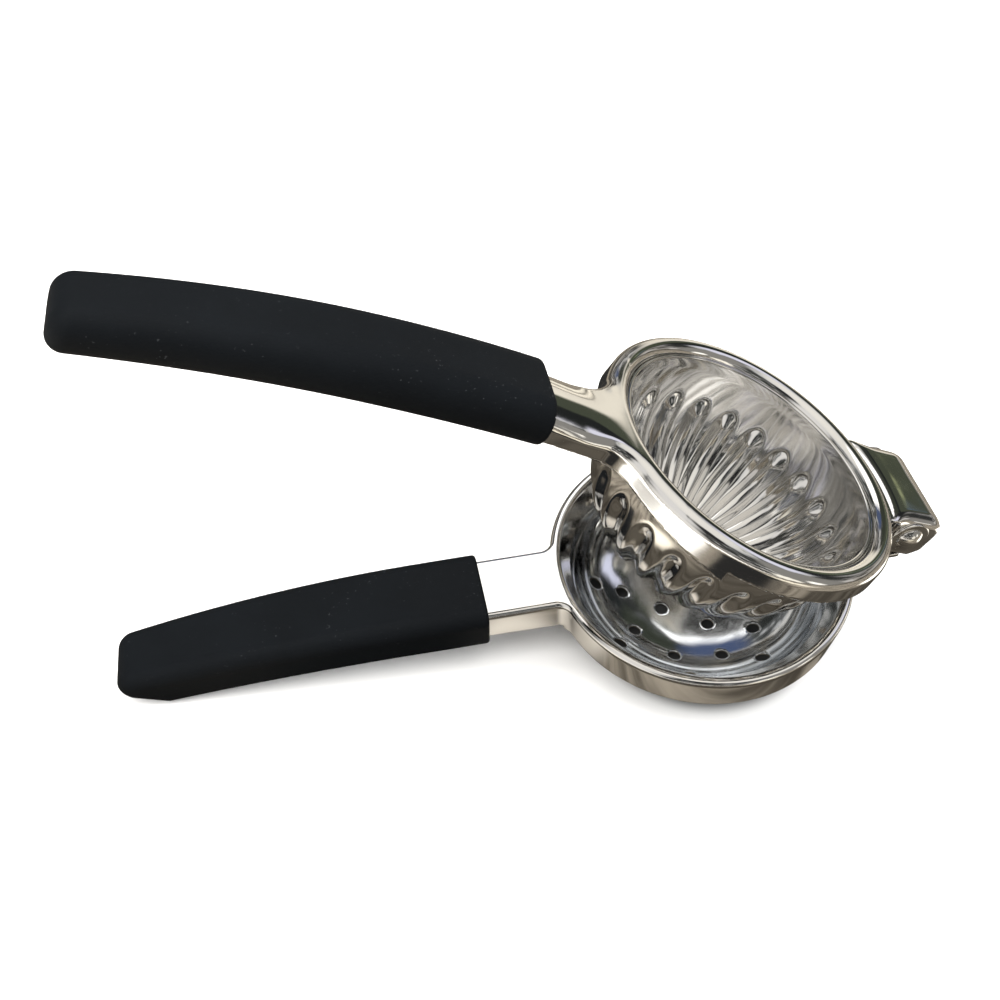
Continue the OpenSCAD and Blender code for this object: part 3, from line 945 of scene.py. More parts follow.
    def distance(self, p: Point, sizes: Sizes) -> Num:
        """Writes the whole frame's field.

        Args:
            p: A place in the jaw's frame.
            sizes: The tree's named sizes.

        Returns:
            The place's distance from the skin.
        """
        r = length(p.x, p.y)
        solid = self.ring_and_handle(p, r, sizes["Corner radius"])
        solid = filleted(solid, self.plate(p, r), self.groove_r)
        steel = walled(solid, sizes["Sheet"])
        lip = (self.top - self.bead_r - self.band_h - p.z).under(self.crest_r - r)
        steel = rounded(steel, self.kept(p, r).over(lip), self.cut_r)
        return steel.over(sizes["Bore"] * 0.5 - self.from_pin(p))


@dataclass
class PressCup(Piece):
    """Deep cup with round-ended flutes pressed inward, laid out as a grid round its axis.

    Below its straight wall its side is a superellipse with a power for each axis. The first flute
    lies at an angle in degrees. A flute's head is longer than wide by 1 / head, and its dent is
    gone at fade times half its width.
    """

    NAME, NODE, SLOT, JAW = "press_cup_shell", "press_cup", "cup_steel", Jaw.UPPER
    neck_r: float = 35.9
    belly_r: float = 36.35
    top_z: float = 16.9
    wall_h: float = 4.6
    depth: float = 41.0
    wide_power: float = 2.2
    deep_power: float = 2.64
    shell: float = 0.8
    flutes: int = 24
    first: float = 2.3
    flute_depth: float = 2.0
    flute_start: float = 18.2
    groove_half: float = 3.4
    head: float = 0.53
    fade: float = 1.05
    width_share: float = 0.96
    least_half: float = 0.2
    fade_in_r: float = 3.0
    fade_out_r: float = 15.0
    wall_v: float = 0.07
    neck_v: float = 0.09
    spacing: float = 0.9
    columns: int = 432
    rows: int = 108
    weld: float = 0.004

    def surface(self, u: Num, v: Num, depth: Num) -> tuple[Num, Num, Num]:
        """Where the outer skin lies.

        Args:
            u: Share of a turn.
            v: 0 at the edge, 1 at the middle of the bottom.
            depth: Depth of a flute.

        Returns:
            x, y and z.
        """
        neck = v.ramp(0.0, self.neck_v)
        down = (v - self.wall_v).over(0.0) / (1.0 - self.wall_v)
        turn = down ** self.spacing * (math.pi / 2.0)
        cos, sin = turn.cos().over(0.0), turn.sin()
        out = self.neck_r + neck * (self.belly_r - self.neck_r)
        r = out * cos ** (2.0 / self.wide_power)
        z = self.top_z - v.under(self.wall_v) * (self.wall_h / self.wall_v)
        z = z - sin ** (2.0 / self.deep_power) * (self.depth - self.wall_h)
        pitch = math.pi / self.flutes
        angle = u * (2.0 * math.pi)
        aside = abs((angle - math.radians(self.first)).wrapped(pitch)) * r
        beyond = (z - (self.top_z - self.flute_start)).over(0.0)
        half = (r * (pitch * self.width_share)).under(self.groove_half)
        share = length(aside, beyond * self.head) / half.over(self.least_half)
        dent = 1.0 - share.ramp(0.0, self.fade)
        dent = dent * depth * r.ramp(self.fade_in_r, self.fade_out_r)
        r = r - dent * cos
        z = z + dent * sin
        return r * angle.cos(), r * angle.sin(), z

    def build(self, material: Material) -> Object:
        """Meshes, places and thickens the cup.

        Args:
            material: What it is made of.

        Returns:
            The new object.
        """
        sizes = {"Flute depth": self.flute_depth}
        tree = new_tree(f"{self.NAME}.form", sizes, [("Geometry", "OUTPUT", "NodeSocketGeometry")])
        graph = Graph(tree)
        source = graph.node("NodeGroupInput")
        sheet = graph.out("GeometryNodeMeshGrid", {
            "Size X": 1.0, "Size Y": 1.0, "Vertices X": self.columns + 1, "Vertices Y": self.rows})
        u, v, _ = graph.split(graph.out("GeometryNodeInputPosition"))
        depth = Num(graph, source.outputs["Flute depth"])
        place = graph.joined(*self.surface(u + 0.5, v + 0.5, depth))
        bent = graph.out("GeometryNodeSetPosition", {"Geometry": sheet, "Position": place})
        welded = graph.out("GeometryNodeMergeByDistance", {
            "Geometry": bent, "Distance": self.weld})
        mesh = baked(graph, welded, material, sizes, self.NAME)
        made = self.placed(mesh)
        outward(mesh)
        wall = made.modifiers.new("wall", "SOLIDIFY")
        wall.thickness, wall.offset, wall.use_even_offset = self.shell * MM, -1.0, True
        return made


def outward(mesh: Mesh) -> None:
    """Turns an open cup's faces outward, judged by where most of its area faces.

    Args:
        mesh: The cup's mesh.
    """
    middle = sum((v.co for v in mesh.vertices), Vector()) / len(mesh.vertices)
    share = sum((face.center - middle).dot(face.normal) * face.area for face in mesh.polygons)
    if share < 0.0:
        mesh.flip_normals()


# ---- Lower jaw ----


def droop(x: Num, start: float = 80.0, radius: float = 413.0) -> Num:
    """Height of the lower handle's top at x."""
    return (-x - start).over(0.0) ** 2.0 / (-2.0 * radius)


@dataclass
class LowerFrame(FieldPiece):
    """Folded rim with its skirt and inner wall, flanged handle and the tongue with its ears."""

    NAME, NODE, SLOT, JAW = "lower_frame_sheet", "lower_frame", "frame_steel", Jaw.LOWER
    BLOCK = Block((-153.0, -42.8, -16.5), (57.6, 42.8, 17.4), 0.45)
    SIZES = {"Sheet": "sheet", "Corner radius": "corner_r"}
    sheet: float = 1.5
    rim_r: float = 42.0
    skirt_h: float = 11.5
    skirt_draft: float = 0.9
    wall_angle: float = 56.0
    seam_r: float = 35.8
    shank_w: float = 19.2
    flange_h: float = 9.8
    core_h: float = 7.4
    edge_r: float = 1.5
    corner_r: float = 2.6
    mouth_x: float = 62.0
    end_x: float = 151.0
    tip_w: float = 12.0
    tongue_w: float = 22.0
    tongue_end: float = 56.5
    ear_r: float = 5.0
    ear_foot: float = 44.5
    ear_foot_l: float = 5.0
    bore: float = 5.08
    bar_in: float = 38.0
    seam_edge_r: float = 0.7
    wall_back: float = 3.4
    slack: float = 0.1
    cut_r: float = 0.3
    tongue_in: float = 20.0
    tongue_bevel: float = 2.5
    tongue_fillet: float = 0.5
    spread: float = 1.6
    stem_r: float = 2.0
    root_r: float = 0.6
    burr_r: float = 0.25

    @property
    def flange_slope(self) -> float:
        """How much lower the flange's edge gets for each millimetre toward the rim."""
        return (self.flange_h - self.core_h) / (self.end_x - self.rim_r)

    def distance(self, p: Point, sizes: Sizes) -> Num:
        """Writes the whole frame's field.

        Args:
            p: A place in the jaw's frame.
            sizes: The tree's named sizes.

        Returns:
            The place's distance from the skin.
        """
        r = length(p.x, p.y)
        sheet = sizes["Sheet"]
        sink = (-p.z - self.sheet).over(0.0)
        rim = r - self.rim_r + sink * (self.skirt_draft / (self.skirt_h - self.sheet))
        half = narrowing(p.x, self.shank_w, self.tip_w, self.mouth_x, self.end_x)
        bar = largest(abs(p.y) - half, p.x + self.bar_in, -p.x - self.end_x)
        plan = filleted(rim, bar, sizes["Corner radius"])
        solid = rounded(plan, p.z - droop(p.x), self.edge_r)
        angle = math.radians(self.wall_angle)
        in_r, in_z = -math.sin(angle), math.cos(angle)
        top_r = self.rim_r - self.sheet + self.sheet * in_r
        top_z = -self.sheet + self.sheet * in_z
        inside = (r - top_r) * in_r + (p.z - top_z) * in_z
        solid = rounded(solid, inside, self.seam_edge_r)
        steel = walled(solid, sheet)
        down = (r - top_r) * -in_z + (p.z - top_z) * in_r
        wall_l = (top_r - self.seam_r) / math.cos(angle)
        wall_end = (down - wall_l).under(self.rim_r - self.wall_back - r)
        flange = droop(p.x) - self.flange_h + (-p.x - self.rim_r).over(0.0) * self.flange_slope
        cut = (-self.skirt_h - p.z).over(r - self.rim_r - self.slack).under(flange - p.z)
        steel = rounded(steel, cut.over(wall_end), self.cut_r)
        return filleted(steel, self.tongue(p, r), self.tongue_fillet)

    def tongue(self, p: Point, r: Num) -> Num:
        """Forms the flat tongue at the hinge and the two ears that stand on it.

        Args:
            p: A place.
            r: Its distance from the rim's axis.

        Returns:
            Its distance from the tongue and the ears.
        """
        half = self.tongue_w / 2.0
        bevel = (abs(p.y) + p.x - half - self.tongue_end + self.tongue_bevel) * COS_45
        plan = largest(abs(p.y) - half, p.x - self.tongue_end, bevel, self.rim_r - self.sheet - r,
                       self.tongue_in - p.x)
        flat = rounded(plan, abs(p.z + self.sheet / 2.0) - self.sheet / 2.0, self.burr_r)
        pin = self.from_pin(p)
        root = abs(p.x - self.ear_foot - self.ear_foot_l / 2.0) - self.ear_foot_l / 2.0
        spread = (p.z / self.stance.pin_z).over(0.0).under(1.0) * self.spread
        stem = largest(root - spread, -self.sheet - p.z, p.z - self.stance.pin_z)
        ear = filleted(pin - self.ear_r, stem, self.stem_r).over(self.bore / 2.0 - pin)
        slab = abs(abs(p.y) - half + self.sheet / 2.0) - self.sheet / 2.0
        return filleted(flat, rounded(ear, slab, self.burr_r), self.root_r)


@dataclass
class StrainerBowl(FieldPiece):
    """Deep drawn bowl under the rim, with three rings of punched juice holes.

    Its side is a superellipse with a power for each axis. Each ring of holes has its radius, the
    number of holes and the angle of the first, in degrees.
    """

    NAME, NODE, SLOT, JAW = "strainer_bowl_shell", "strainer_bowl", "bowl_steel", Jaw.LOWER
    BLOCK = Block((-40.6, -40.6, -28.2), (40.6, 40.6, -2.4), 0.42)
    SIZES = {"Shell": "shell", "Hole diameter": "hole_d"}
    edge_r: float = 36.2
    depth: float = 26.2
    wide_power: float = 2.34
    deep_power: float = 2.467
    shell: float = 1.0
    hole_d: float = 3.5
    rings: tuple[tuple[float, int, float], ...] = (
        (8.1, 3, 57.0), (19.8, 9, -40.0), (27.9, 8, -63.0))
    flange_low: Pair = (34.9, -9.5)
    flange_high: Pair = (39.09, -3.68)
    flange_r: float = 1.0
    least: float = 0.01
    flattest: float = 0.012
    edge_fillet: float = 0.2
    hole_edge: float = 0.28

    def distance(self, p: Point, sizes: Sizes) -> Num:
        """Writes the bowl's field.

        Args:
            p: A place in the jaw's frame.
            sizes: The tree's named sizes.

        Returns:
            The place's distance from the skin.
        """
        r = length(p.x, p.y)
        deep = (-p.z).over(self.least) / self.depth
        wide = r.over(self.least) / self.edge_r
        level = wide ** self.wide_power + deep ** self.deep_power - 1.0
        slope = length(
            wide ** (self.wide_power - 1.0) * (self.wide_power / self.edge_r),
            deep ** (self.deep_power - 1.0) * (self.deep_power / self.depth))
        air = level / slope.over(self.flattest)
        out, up = (high - low for high, low in zip(self.flange_high, self.flange_low))
        run = Vector((out, up)).normalized()
        from_r, from_z = r - self.flange_low[0], p.z - self.flange_low[1]
        cone = from_r * run.y - from_z * run.x
        air = filleted(air, cone.over(self.flange_low[1] - p.z), self.flange_r)
        shell = sizes["Shell"]
        steel = abs(air - shell * 0.5) - shell * 0.5
        beyond = from_r * run.x + from_z * run.y - out / run.x
        steel = rounded(steel, beyond, self.edge_fillet)
        around = p.angle()
        for ring_r, count, first in self.rings:
            turn = (around - math.radians(first)).wrapped(math.pi / count)
            hole = length(r * turn.cos() - ring_r, r * turn.sin()) - sizes["Hole diameter"] * 0.5
            steel = rounded(steel, -hole, self.hole_edge)
        tilt, foot_x = self.stance.tilt, self.stance.foot_x
        above = p.z + (foot_x * math.tan(tilt) - self.stance.foot_z)
        return steel.over(-((p.x - foot_x) * math.sin(tilt) + above * math.cos(tilt)))


# ---- Grips ----


@dataclass
class LowerGrip(FieldPiece):
    """Sleeve on the lower handle, with soft edges and a sloped heel."""

    NAME, NODE, SLOT, JAW = "lower_grip_sleeve", "lower_grip", "grip_rubber", Jaw.LOWER
    BLOCK = Block((-161.6, -12.6, -29.5), (-60.8, 12.6, 3.2), 0.5)
    SIZES = {"Height": "height"}
    frame: LowerFrame
    mouth_x: float = 62.0
    end_x: float = 160.5
    mouth_w: float = 23.6
    tip_w: float = 18.0
    height: float = 13.7
    cover: float = 2.2
    corner_r: float = 4.0
    end_r: float = 4.0
    heel_l: float = 12.0
    heel_rise: float = 7.5
    under_share: float = 0.8
    mouth_edge: float = 0.9
    fit: float = 0.15

    def distance(self, p: Point, sizes: Sizes) -> Num:
        """Writes the sleeve's field.

        Args:
            p: A place in the jaw's frame.
            sizes: The tree's named sizes.

        Returns:
            The place's distance from the skin.
        """
        share = (-p.x - self.mouth_x).over(0.0) / (self.end_x - self.mouth_x)
        half = self.mouth_w / 2.0 - share * share * ((self.mouth_w - self.tip_w) / 2.0)
        line = droop(p.x) + self.cover
        high = p.z - line
        heel = (-p.x - self.end_x + self.heel_l).over(0.0) * (self.heel_rise / self.heel_l)
        low = line - sizes["Height"] + heel - p.z
        side = abs(p.y) - half
        body = rounded(rounded(side, high, self.corner_r), low, self.corner_r * self.under_share)
        body = rounded(body, -p.x - self.end_x, self.end_r)
        body = rounded(body, p.x + self.mouth_x, self.mouth_edge)
        core = self.frame
        core_half = narrowing(p.x, core.shank_w, core.tip_w, self.mouth_x, core.end_x)
        deeper = (core.end_x + p.x).over(0.0) * core.flange_slope
        floor = droop(p.x) - core.core_h - self.fit - deeper
        hollow = largest(abs(p.y) - core_half - self.fit, p.z - droop(p.x) - self.fit, floor - p.z,
                         -p.x - core.end_x - self.fit)
        return body.over(-hollow)


@dataclass
class UpperGrip(FieldPiece):
    """Sleeve with round sides on the upper handle."""

    NAME, NODE, SLOT, JAW = "upper_grip_sleeve", "upper_grip", "grip_rubber", Jaw.UPPER
    BLOCK = Block((-165.6, -12.0, 3.0), (-61.8, 12.0, 28.0), 0.5)
    SIZES = {"Height": "mouth_h"}
    frame: UpperFrame
    mouth_x: float = 63.0
    end_x: float = 164.5
    mouth_w: float = 22.4
    tip_w: float = 17.6
    mouth_h: float = 12.6
    tip_h: float = 10.0
    end_r: float = 3.8
    side_flat: float = 0.2
    mouth_edge: float = 0.9
    fit: float = 0.15

    def distance(self, p: Point, sizes: Sizes) -> Num:
        """Writes the sleeve's field.

        Args:
            p: A place in the jaw's frame.
            sizes: The tree's named sizes.

        Returns:
            The place's distance from the skin.
        """
        share = (-p.x - self.mouth_x).over(0.0) / (self.end_x - self.mouth_x)
        share = share * share
        half_w = self.mouth_w / 2.0 - share * ((self.mouth_w - self.tip_w) / 2.0)
        half_h = sizes["Height"] * 0.5 - share * ((self.mouth_h - self.tip_h) / 2.0)
        up = p.z - arch(p.x)
        body = rounded(abs(p.y) - half_w, abs(up) - half_h, half_h - self.side_flat)
        body = rounded(body, -p.x - self.end_x, self.end_r)
        body = rounded(body, p.x + self.mouth_x, self.mouth_edge)
        core = self.frame
        core_half = narrowing(p.x, core.shank_w, core.tip_w, self.mouth_x, core.end_x)
        hollow = largest(abs(p.y) - core_half - self.fit, abs(up) - core.shank_h / 2.0 - self.fit,
                         -p.x - core.end_x - self.fit)
        return body.over(-hollow)


# ---- Rivet ----


@dataclass
class RivetPart(FieldPiece):
    """What the rivet and its washers have in common."""

    SLOT, JAW = "rivet_steel", Jaw.UPPER
    head_h: float = 2.0
    ears_w: float = 28.0
    washer_t: float = 0.6
    reach: float = 6.4
    margin: float = 0.6
    cell: float = 0.22
    edge_r: float = 0.25

    @property
    def block(self) -> Block:
        """The space round the rivet.

        Returns:
            A narrow block across both ears.
        """
        x, z = self.stance.pin_x, self.stance.pin_z
        across = self.ears_w / 2.0 + self.washer_t + self.head_h + self.margin
        low = (x - self.reach, -across, z - self.reach)
        return Block(low, (x + self.reach, across, z + self.reach), self.cell)


@dataclass
class Rivet(RivetPart):
    """Rivet with a domed head at each end, through the bracket's ears."""

    NAME, NODE = "rivet_body", "hinge_rivet"
    SIZES = {"Shank diameter": "shank_d"}
    shank_d: float = 5.0
    head_d: float = 7.6
    overlap: float = 0.3

    def distance(self, p: Point, sizes: Sizes) -> Num:
        """Writes the rivet's field.

        Args:
            p: A place in the jaw's frame.
            sizes: The tree's named sizes.

        Returns:
            The place's distance from the skin.
        """
        across, r = abs(p.y), self.from_pin(p)
        face = self.ears_w / 2.0 + self.washer_t
        dome_r = ((self.head_d / 2.0) ** 2 + self.head_h ** 2) / (2.0 * self.head_h)
        dome = length(r, across - (face + self.head_h - dome_r)) - dome_r
        dome = rounded(dome, face - across, self.edge_r)
        return dome.under((r - sizes["Shank diameter"] * 0.5).over(across - face - self.overlap))


@dataclass
class RivetWashers(RivetPart):
    """Thin washer under each of the rivet's heads."""

    NAME, NODE = "rivet_washer_pair", "rivet_washers"
    SIZES = {"Washer diameter": "washer_d"}
    washer_d: float = 11.0
    bore: float = 5.04
    bore_edge: float = 0.1

    def distance(self, p: Point, sizes: Sizes) -> Num:
        """Writes the washers' field.

        Args:
            p: A place in the jaw's frame.
            sizes: The tree's named sizes.

        Returns:
            The place's distance from the skin.
        """
        r = self.from_pin(p)
        slab = abs(abs(p.y) - (self.ears_w + self.washer_t) / 2.0) - self.washer_t / 2.0
        disc = rounded(r - sizes["Washer diameter"] * 0.5, slab, self.edge_r)
        return rounded(disc, self.bore / 2.0 - r, self.bore_edge)


# ---- Studio ----


@dataclass(frozen=True)
class Glow:
    """A soft round patch of the room, at a direction of the surround or a place on the floor.

    It is full up to its inner radius and gone at its outer one, in degrees round a direction or
    in metres on the floor.
    """

    at: tuple[float, ...]
    inner: float
    outer: float
    colour: Triple


@dataclass(frozen=True)
class Cloud:
    """A colour that lies over the surround where a noise goes from one value to another."""

    span: Pair
    share: float
    colour: Triple


@dataclass(frozen=True)
class Lamp:
    """A square area lamp that polished steel doesn't mirror."""

    name: str
    place: Triple
    size: float
    power: float
    colour: Triple

    def build(self, aim: Triple) -> None:
        """Adds the lamp.

        Args:
            aim: The place that it points at.
        """
        data = bpy.data.lights.new(self.name, "AREA")
        data.size, data.energy, data.color = self.size, self.power, self.colour
        lamp = added(self.name, data)
        lamp.location = self.place
        lamp.visible_glossy = False
        way = Vector(aim) - Vector(self.place)
        lamp.rotation_euler = way.to_track_quat("-Z", "Y").to_euler()


@dataclass
class Floor:
    """Pale floor, which reflections see as dark boards with light and dark spots, in metres.

    A span gives where something starts and where it is full: values of the noise for the grain,
    distances for the rest. The shade lies round the bowl, the glare far to the left of the
    squeezer, and the foot under the bowl.
    """

    half: float = 3.0
    pale: Triple = (0.9, 0.9, 0.9)
    roughness: float = 0.9
    shine: float = 0.1
    boards: Triple = (1.2, 14.0, 1.0)
    grain: Noise = Noise(9.0, 5.0)
    grain_span: Pair = (0.36, 0.64)
    dark_wood: Triple = (0.05, 0.043, 0.034)
    light_wood: Triple = (0.25, 0.222, 0.182)
    # Painted shade round the bowl, and a painted glare far to its left.
    shade_in: Pair = (0.048, 0.058)
    shade_out: Pair = (0.14, 0.1)
    shade: float = 0.85
    shade_colour: Triple = (0.022, 0.019, 0.015)
    glare_way: Pair = (0.87, 0.5)
    glare_span: Pair = (0.30, 0.42)
    glare_colour: Triple = (0.85, 0.83, 0.79)
    # Painted shadow: a dark disc on the pale floor under the bowl, seen through its juice holes.
    foot_x: float = 0.0085
    foot_shadow_span: Pair = (0.037, 0.031)
    foot_shadow_colour: Triple = (0.03, 0.03, 0.03)
    # Painted patches of light and shade on the boards, which the steel mirrors as highlights and
    # dark areas.
    light_and_shade_spots: tuple[Glow, ...] = (
        Glow((-0.05, -0.215), 0.07, 0.13, (0.008, 0.008, 0.008)),
        Glow((-0.145, -0.07), 0.02, 0.05, (0.7, 0.65, 0.55)),
        Glow((-0.026, 0.15), 0.02, 0.06, (0.01, 0.01, 0.01)),
        Glow((0.105, -0.29), 0.05, 0.13, (0.5, 0.46, 0.38)),
        Glow((0.27, 0.42), 0.07, 0.16, (0.8, 0.75, 0.64)),
        Glow((0.04, 0.75), 0.2, 0.5, (0.02, 0.02, 0.018)),
        Glow((0.15, -0.035), 0.02, 0.045, (1.2, 1.15, 1.05)),
        Glow((1.0, 1.25), 0.5, 1.0, (1.0, 0.93, 0.8)),
        Glow((-0.047, -0.012), 0.008, 0.02, (0.6, 0.56, 0.5)),
    )

    def mirrored(self, graph: Graph, x: Num, y: Num) -> NodeSocket:
        """Colours what reflections see of the floor.

        Args:
            graph: The material's graph.
            x: Place along the squeezer.
            y: Place across it.

        Returns:
            The colour.
        """
        grain = graph.noise(graph.place(self.boards), self.grain).ramp(*self.grain_span)
        wood_and_painted_light = graph.mix_colour(grain, self.dark_wood, self.light_wood)
        r = length(x, y)
        # Painted shade: the boards darken in a ring round the bowl.
        shade = r.ramp(*self.shade_in) * r.ramp(*self.shade_out) * self.shade
        wood_and_painted_light = graph.mix_colour(shade, wood_and_painted_light, self.shade_colour)
        # Painted light: a bright glare on the boards far to the left of the squeezer.
        leftward = -(x * self.glare_way[0] + y * self.glare_way[1])
        wood_and_painted_light = graph.mix_colour(leftward.ramp(*self.glare_span), wood_and_painted_light, self.glare_colour)
        # Painted light and shade: bright and dark patches laid over the boards.
        for painted_patch in self.light_and_shade_spots:
            away = length(x - painted_patch.at[0], y - painted_patch.at[1])
            wood_and_painted_light = graph.mix_colour(away.ramp(painted_patch.outer, painted_patch.inner), wood_and_painted_light, painted_patch.colour)
        return wood_and_painted_light

    def build(self) -> None:
        """Lays the floor."""
        half = self.half
        mesh = bpy.data.meshes.new("floor")
        corners = [(-half, -half, 0.0), (half, -half, 0.0), (half, half, 0.0), (-half, half, 0.0)]
        mesh.from_pydata(corners, [], [(0, 1, 2, 3)])
        floor = added("floor", mesh)
        material = bpy.data.materials.new("floor_sweep")
        graph = emptied(material)
        x, y, _ = graph.split(graph.place())
        wood_and_painted_light = self.mirrored(graph, x, y)
        # Painted shadow: the pale floor turns dark in a disc under the bowl, which the camera sees
        # through the juice holes.
        foot = length(x - self.foot_x, y).ramp(*self.foot_shadow_span)
        pale = graph.mix_colour(foot, self.pale, self.foot_shadow_colour)
        seen = graph.number("ShaderNodeLightPath", {}, "Is Camera Ray")
        shader = graph.out("ShaderNodeBsdfPrincipled", {
            "Base Color": graph.mix_colour(seen, wood_and_painted_light, pale), "Roughness": self.roughness,
            "Specular IOR Level": self.shine})
        graph.node("ShaderNodeOutputMaterial", {"Surface": shader})
        mesh.materials.append(material)


@dataclass
class Surround:
    """Soft light from all sides, with clouds and with bright and dark patches."""

    sky: tuple[tuple[float, Triple], ...] = (
        (0.0, (0.12, 0.10, 0.08)), (0.495, (0.08, 0.068, 0.055)), (0.51, (0.30, 0.28, 0.25)),
        (0.545, (0.50, 0.47, 0.43)), (0.60, (0.26, 0.25, 0.24)), (0.68, (0.12, 0.122, 0.12)),
        (0.75, (0.10, 0.103, 0.098)), (0.83, (0.16, 0.16, 0.16)), (0.875, (0.5, 0.5, 0.5)),
        (0.91, (0.92, 0.9, 0.86)), (1.0, (1.08, 1.04, 0.97)),
    )
    mottle: Noise = Noise(4.0, 4.0)
    mottle_stretch: Triple = (1.0, 1.0, 2.4)
    cloud_top: Pair = (0.86, 0.74)
    clouds: tuple[Cloud, ...] = (
        Cloud((0.46, 0.58), 0.85, (0.015, 0.017, 0.015)),
        Cloud((0.44, 0.38), 0.7, (0.75, 0.74, 0.72)),
    )
    patches: tuple[Glow, ...] = (
        Glow((0.76, -0.53, 0.375), 18.0, 30.0, (0.3, 0.29, 0.27)),
        Glow((0.69, 0.70, 0.06), 8.0, 14.0, (1.05, 0.98, 0.84)),
        Glow((0.57, 0.81, -0.05), 7.0, 13.0, (1.0, 0.93, 0.8)),
        Glow((0.60, 0.66, 0.45), 10.0, 16.0, (0.05, 0.056, 0.042)),
        Glow((0.131, 0.616, 0.777), 17.0, 19.5, (1.9, 1.87, 1.82)),
        Glow((0.184, 0.864, 0.469), 6.0, 15.0, (0.09, 0.12, 0.22)),
        Glow((0.785, 0.069, 0.645), 9.0, 17.0, (0.9, 0.9, 1.05)),
        Glow((-0.863, -0.498, 0.087), 14.0, 32.0, (1.0, 0.97, 0.92)),
        Glow((-0.62, -0.4, 0.6), 12.0, 26.0, (0.92, 0.9, 0.88)),
        Glow((0.45, -0.88, 0.06), 7.0, 13.0, (1.3, 1.24, 1.1)),
        Glow((0.78, -0.62, 0.1), 4.0, 8.0, (1.6, 1.55, 1.45)),
        Glow((-0.127, -0.629, 0.767), 6.0, 15.0, (0.03, 0.03, 0.032)),
        Glow((0.83, 0.42, 0.42), 7.0, 15.0, (0.02, 0.022, 0.022)),
        Glow((0.820, 0.533, 0.215), 7.0, 11.0, (0.075, 0.085, 0.06)),
        Glow((0.832, 0.527, 0.174), 0.2, 1.3, (0.36, 0.39, 0.22)),
        Glow((0.856, 0.487, 0.174), 0.7, 1.9, (0.12, 0.16, 0.2)),
    )
    sway: float = 0.05
    sway_share: float = 1.3

    def build(self) -> None:
        """Lights the scene. A patch's edge sways with the mottle, the less the smaller it is."""
        world = bpy.data.worlds.new("surround")
        bpy.context.scene.world = world
        graph = emptied(world)
        way = graph.place(output="Generated")
        height = graph.split(way)[2]
        sky = graph.out("ShaderNodeValToRGB", {0: height * 0.5 + 0.5}, stops=self.sky)
        mottle = graph.noise(graph.place(self.mottle_stretch, "Generated"), self.mottle)
        low = height.ramp(*self.cloud_top)
        for cloud in self.clouds:
            share = mottle.ramp(*cloud.span) * low * cloud.share
            sky = graph.mix_colour(share, sky, cloud.colour)
        for patch in self.patches:
            inner, outer = (math.cos(math.radians(angle)) for angle in (patch.inner, patch.outer))
            toward = Vector(patch.at).normalized()
            nearness = graph.number("ShaderNodeVectorMath", {0: way, 1: toward}, "Value",
                                    operation="DOT_PRODUCT")
            nearness = nearness + (mottle - 0.5) * min(self.sway, self.sway_share * (1.0 - outer))
            sky = graph.mix_colour(nearness.ramp(outer, inner), sky, patch.colour)
        background = graph.out("ShaderNodeBackground", {"Color": sky, "Strength": 1.0})
        graph.node("ShaderNodeOutputWorld", {"Surface": background})


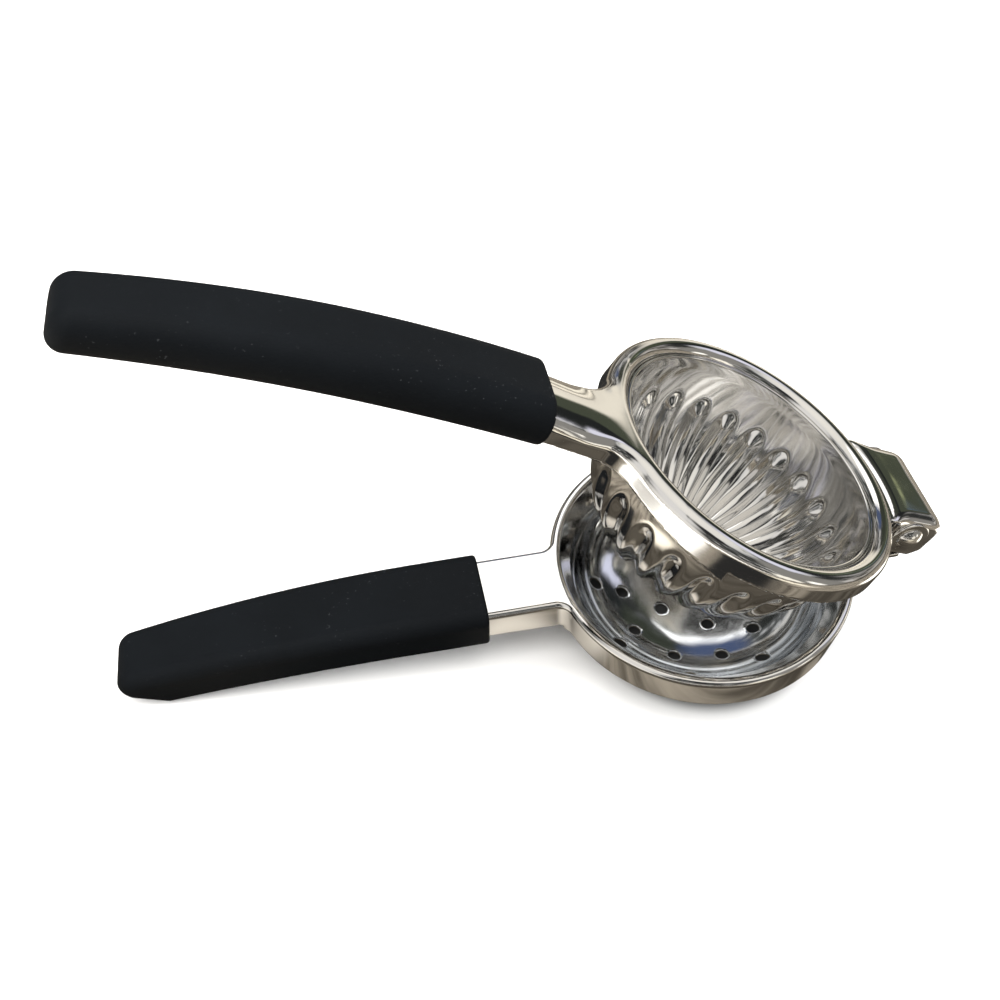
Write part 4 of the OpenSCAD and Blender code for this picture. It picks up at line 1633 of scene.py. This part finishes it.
@dataclass
class Studio:
    """The camera, whose place and axes are in the lower jaw's frame, and all that lights it."""

    stance: Stance
    lens: float = 37.8
    sensor: float = 36.0
    nearest: float = 0.01
    eye: Triple = (-89.886, -161.968, 233.330)
    right: Triple = (0.98077, -0.19514, 0.00268)
    up: Triple = (0.14794, 0.75236, 0.64192)
    forward: Triple = (0.12728, 0.62918, -0.76677)
    lamp_aim: Triple = (-0.03, 0.0, 0.03)
    lamps: tuple[Lamp, ...] = (
        Lamp("box_top", (-0.1, 0.1, 1.1), 1.4, 26.0, (1.0, 0.99, 0.97)),
        Lamp("box_left", (-0.9, -0.2, 0.6), 0.8, 8.0, (1.0, 0.98, 0.95)),
        Lamp("box_right", (0.8, -0.5, 0.6), 0.8, 8.0, (0.95, 0.98, 1.0)),
    )

    def camera(self) -> None:
        """Places the camera."""
        placed = self.stance.placed(Jaw.LOWER)
        turn = Matrix.Rotation(-self.stance.tilt, 3, "Y")
        back = -Vector(self.forward)
        axes = Matrix([turn @ Vector(axis) for axis in (self.right, self.up, back)]).transposed()
        data = bpy.data.cameras.new("camera")
        data.lens, data.sensor_width, data.clip_start = self.lens, self.sensor, self.nearest
        camera = added("camera", data)
        camera.matrix_world = Matrix.Translation(placed @ Vector(self.eye)) @ axes.to_4x4()
        bpy.context.scene.camera = camera

    def build(self) -> None:
        """Sets up the whole studio."""
        self.camera()
        Floor().build()
        Surround().build()
        for lamp in self.lamps:
            lamp.build(self.lamp_aim)
        bpy.context.scene.view_settings.view_transform = "Standard"


# ---- The squeezer ----


def dress_nodes(frame: dict, finishes: dict[str, Material]) -> None:
    """Gives the packed nodes that stay visible their materials.

    Args:
        frame: The packed model.
        finishes: Material for each node's name.
    """
    for node, material in finishes.items():
        mesh = frame["nodes"][node].data
        mesh.materials.clear()
        mesh.materials.append(material)
        LOG.info("%s: packed shape with %s", node, material.name)


def main() -> None:
    """Builds and dresses every piece, sets up the studio and notes the sizes."""
    logging.basicConfig(level=logging.INFO, format="%(name)s: %(message)s")
    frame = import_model()
    stance = Stance()
    Studio(stance).build()

    frame_steel = PolishedSteel("frame_steel", (0.78, 0.77, 0.75), 0.06).material()
    cup_steel = PolishedSteel("cup_steel", (0.76, 0.75, 0.73), 0.085, wave=0.00045, haze=0.04,
                              line=0.05, turned=stance.placed(Jaw.UPPER)).material()
    bowl_steel = PolishedSteel("bowl_steel", (0.74, 0.76, 0.78), 0.08, wave=0.0002,
                               line=0.08, turned=stance.placed(Jaw.LOWER)).material()
    rivet_steel = PolishedSteel("rivet_steel", (0.74, 0.73, 0.7), 0.08, wave=0.00002).material()
    rubber = Silicone("grip_silicone", (0.0030, 0.0038, 0.0048), 0.66, speck=0.1).material()
    nylon = Nylon("washer_nylon", (0.03, 0.03, 0.03), 0.5).material()

    upper, lower = UpperFrame(stance), LowerFrame(stance)
    pieces = (
        (upper, frame_steel), (PressCup(stance), cup_steel), (UpperGrip(stance, upper), rubber),
        (lower, frame_steel), (StrainerBowl(stance), bowl_steel),
        (LowerGrip(stance, lower), rubber), (Rivet(stance), rivet_steel),
        (RivetWashers(stance), rivet_steel),
    )
    for piece, material in pieces:
        made = piece.build(material)
        LOG.info("%s: %d faces on %s", made.name, len(made.data.polygons), piece.JAW.value)
    dress_nodes(frame, {"friction_washers": nylon, "spacer_tube": rivet_steel})


if __name__ == "__main__":
    main()
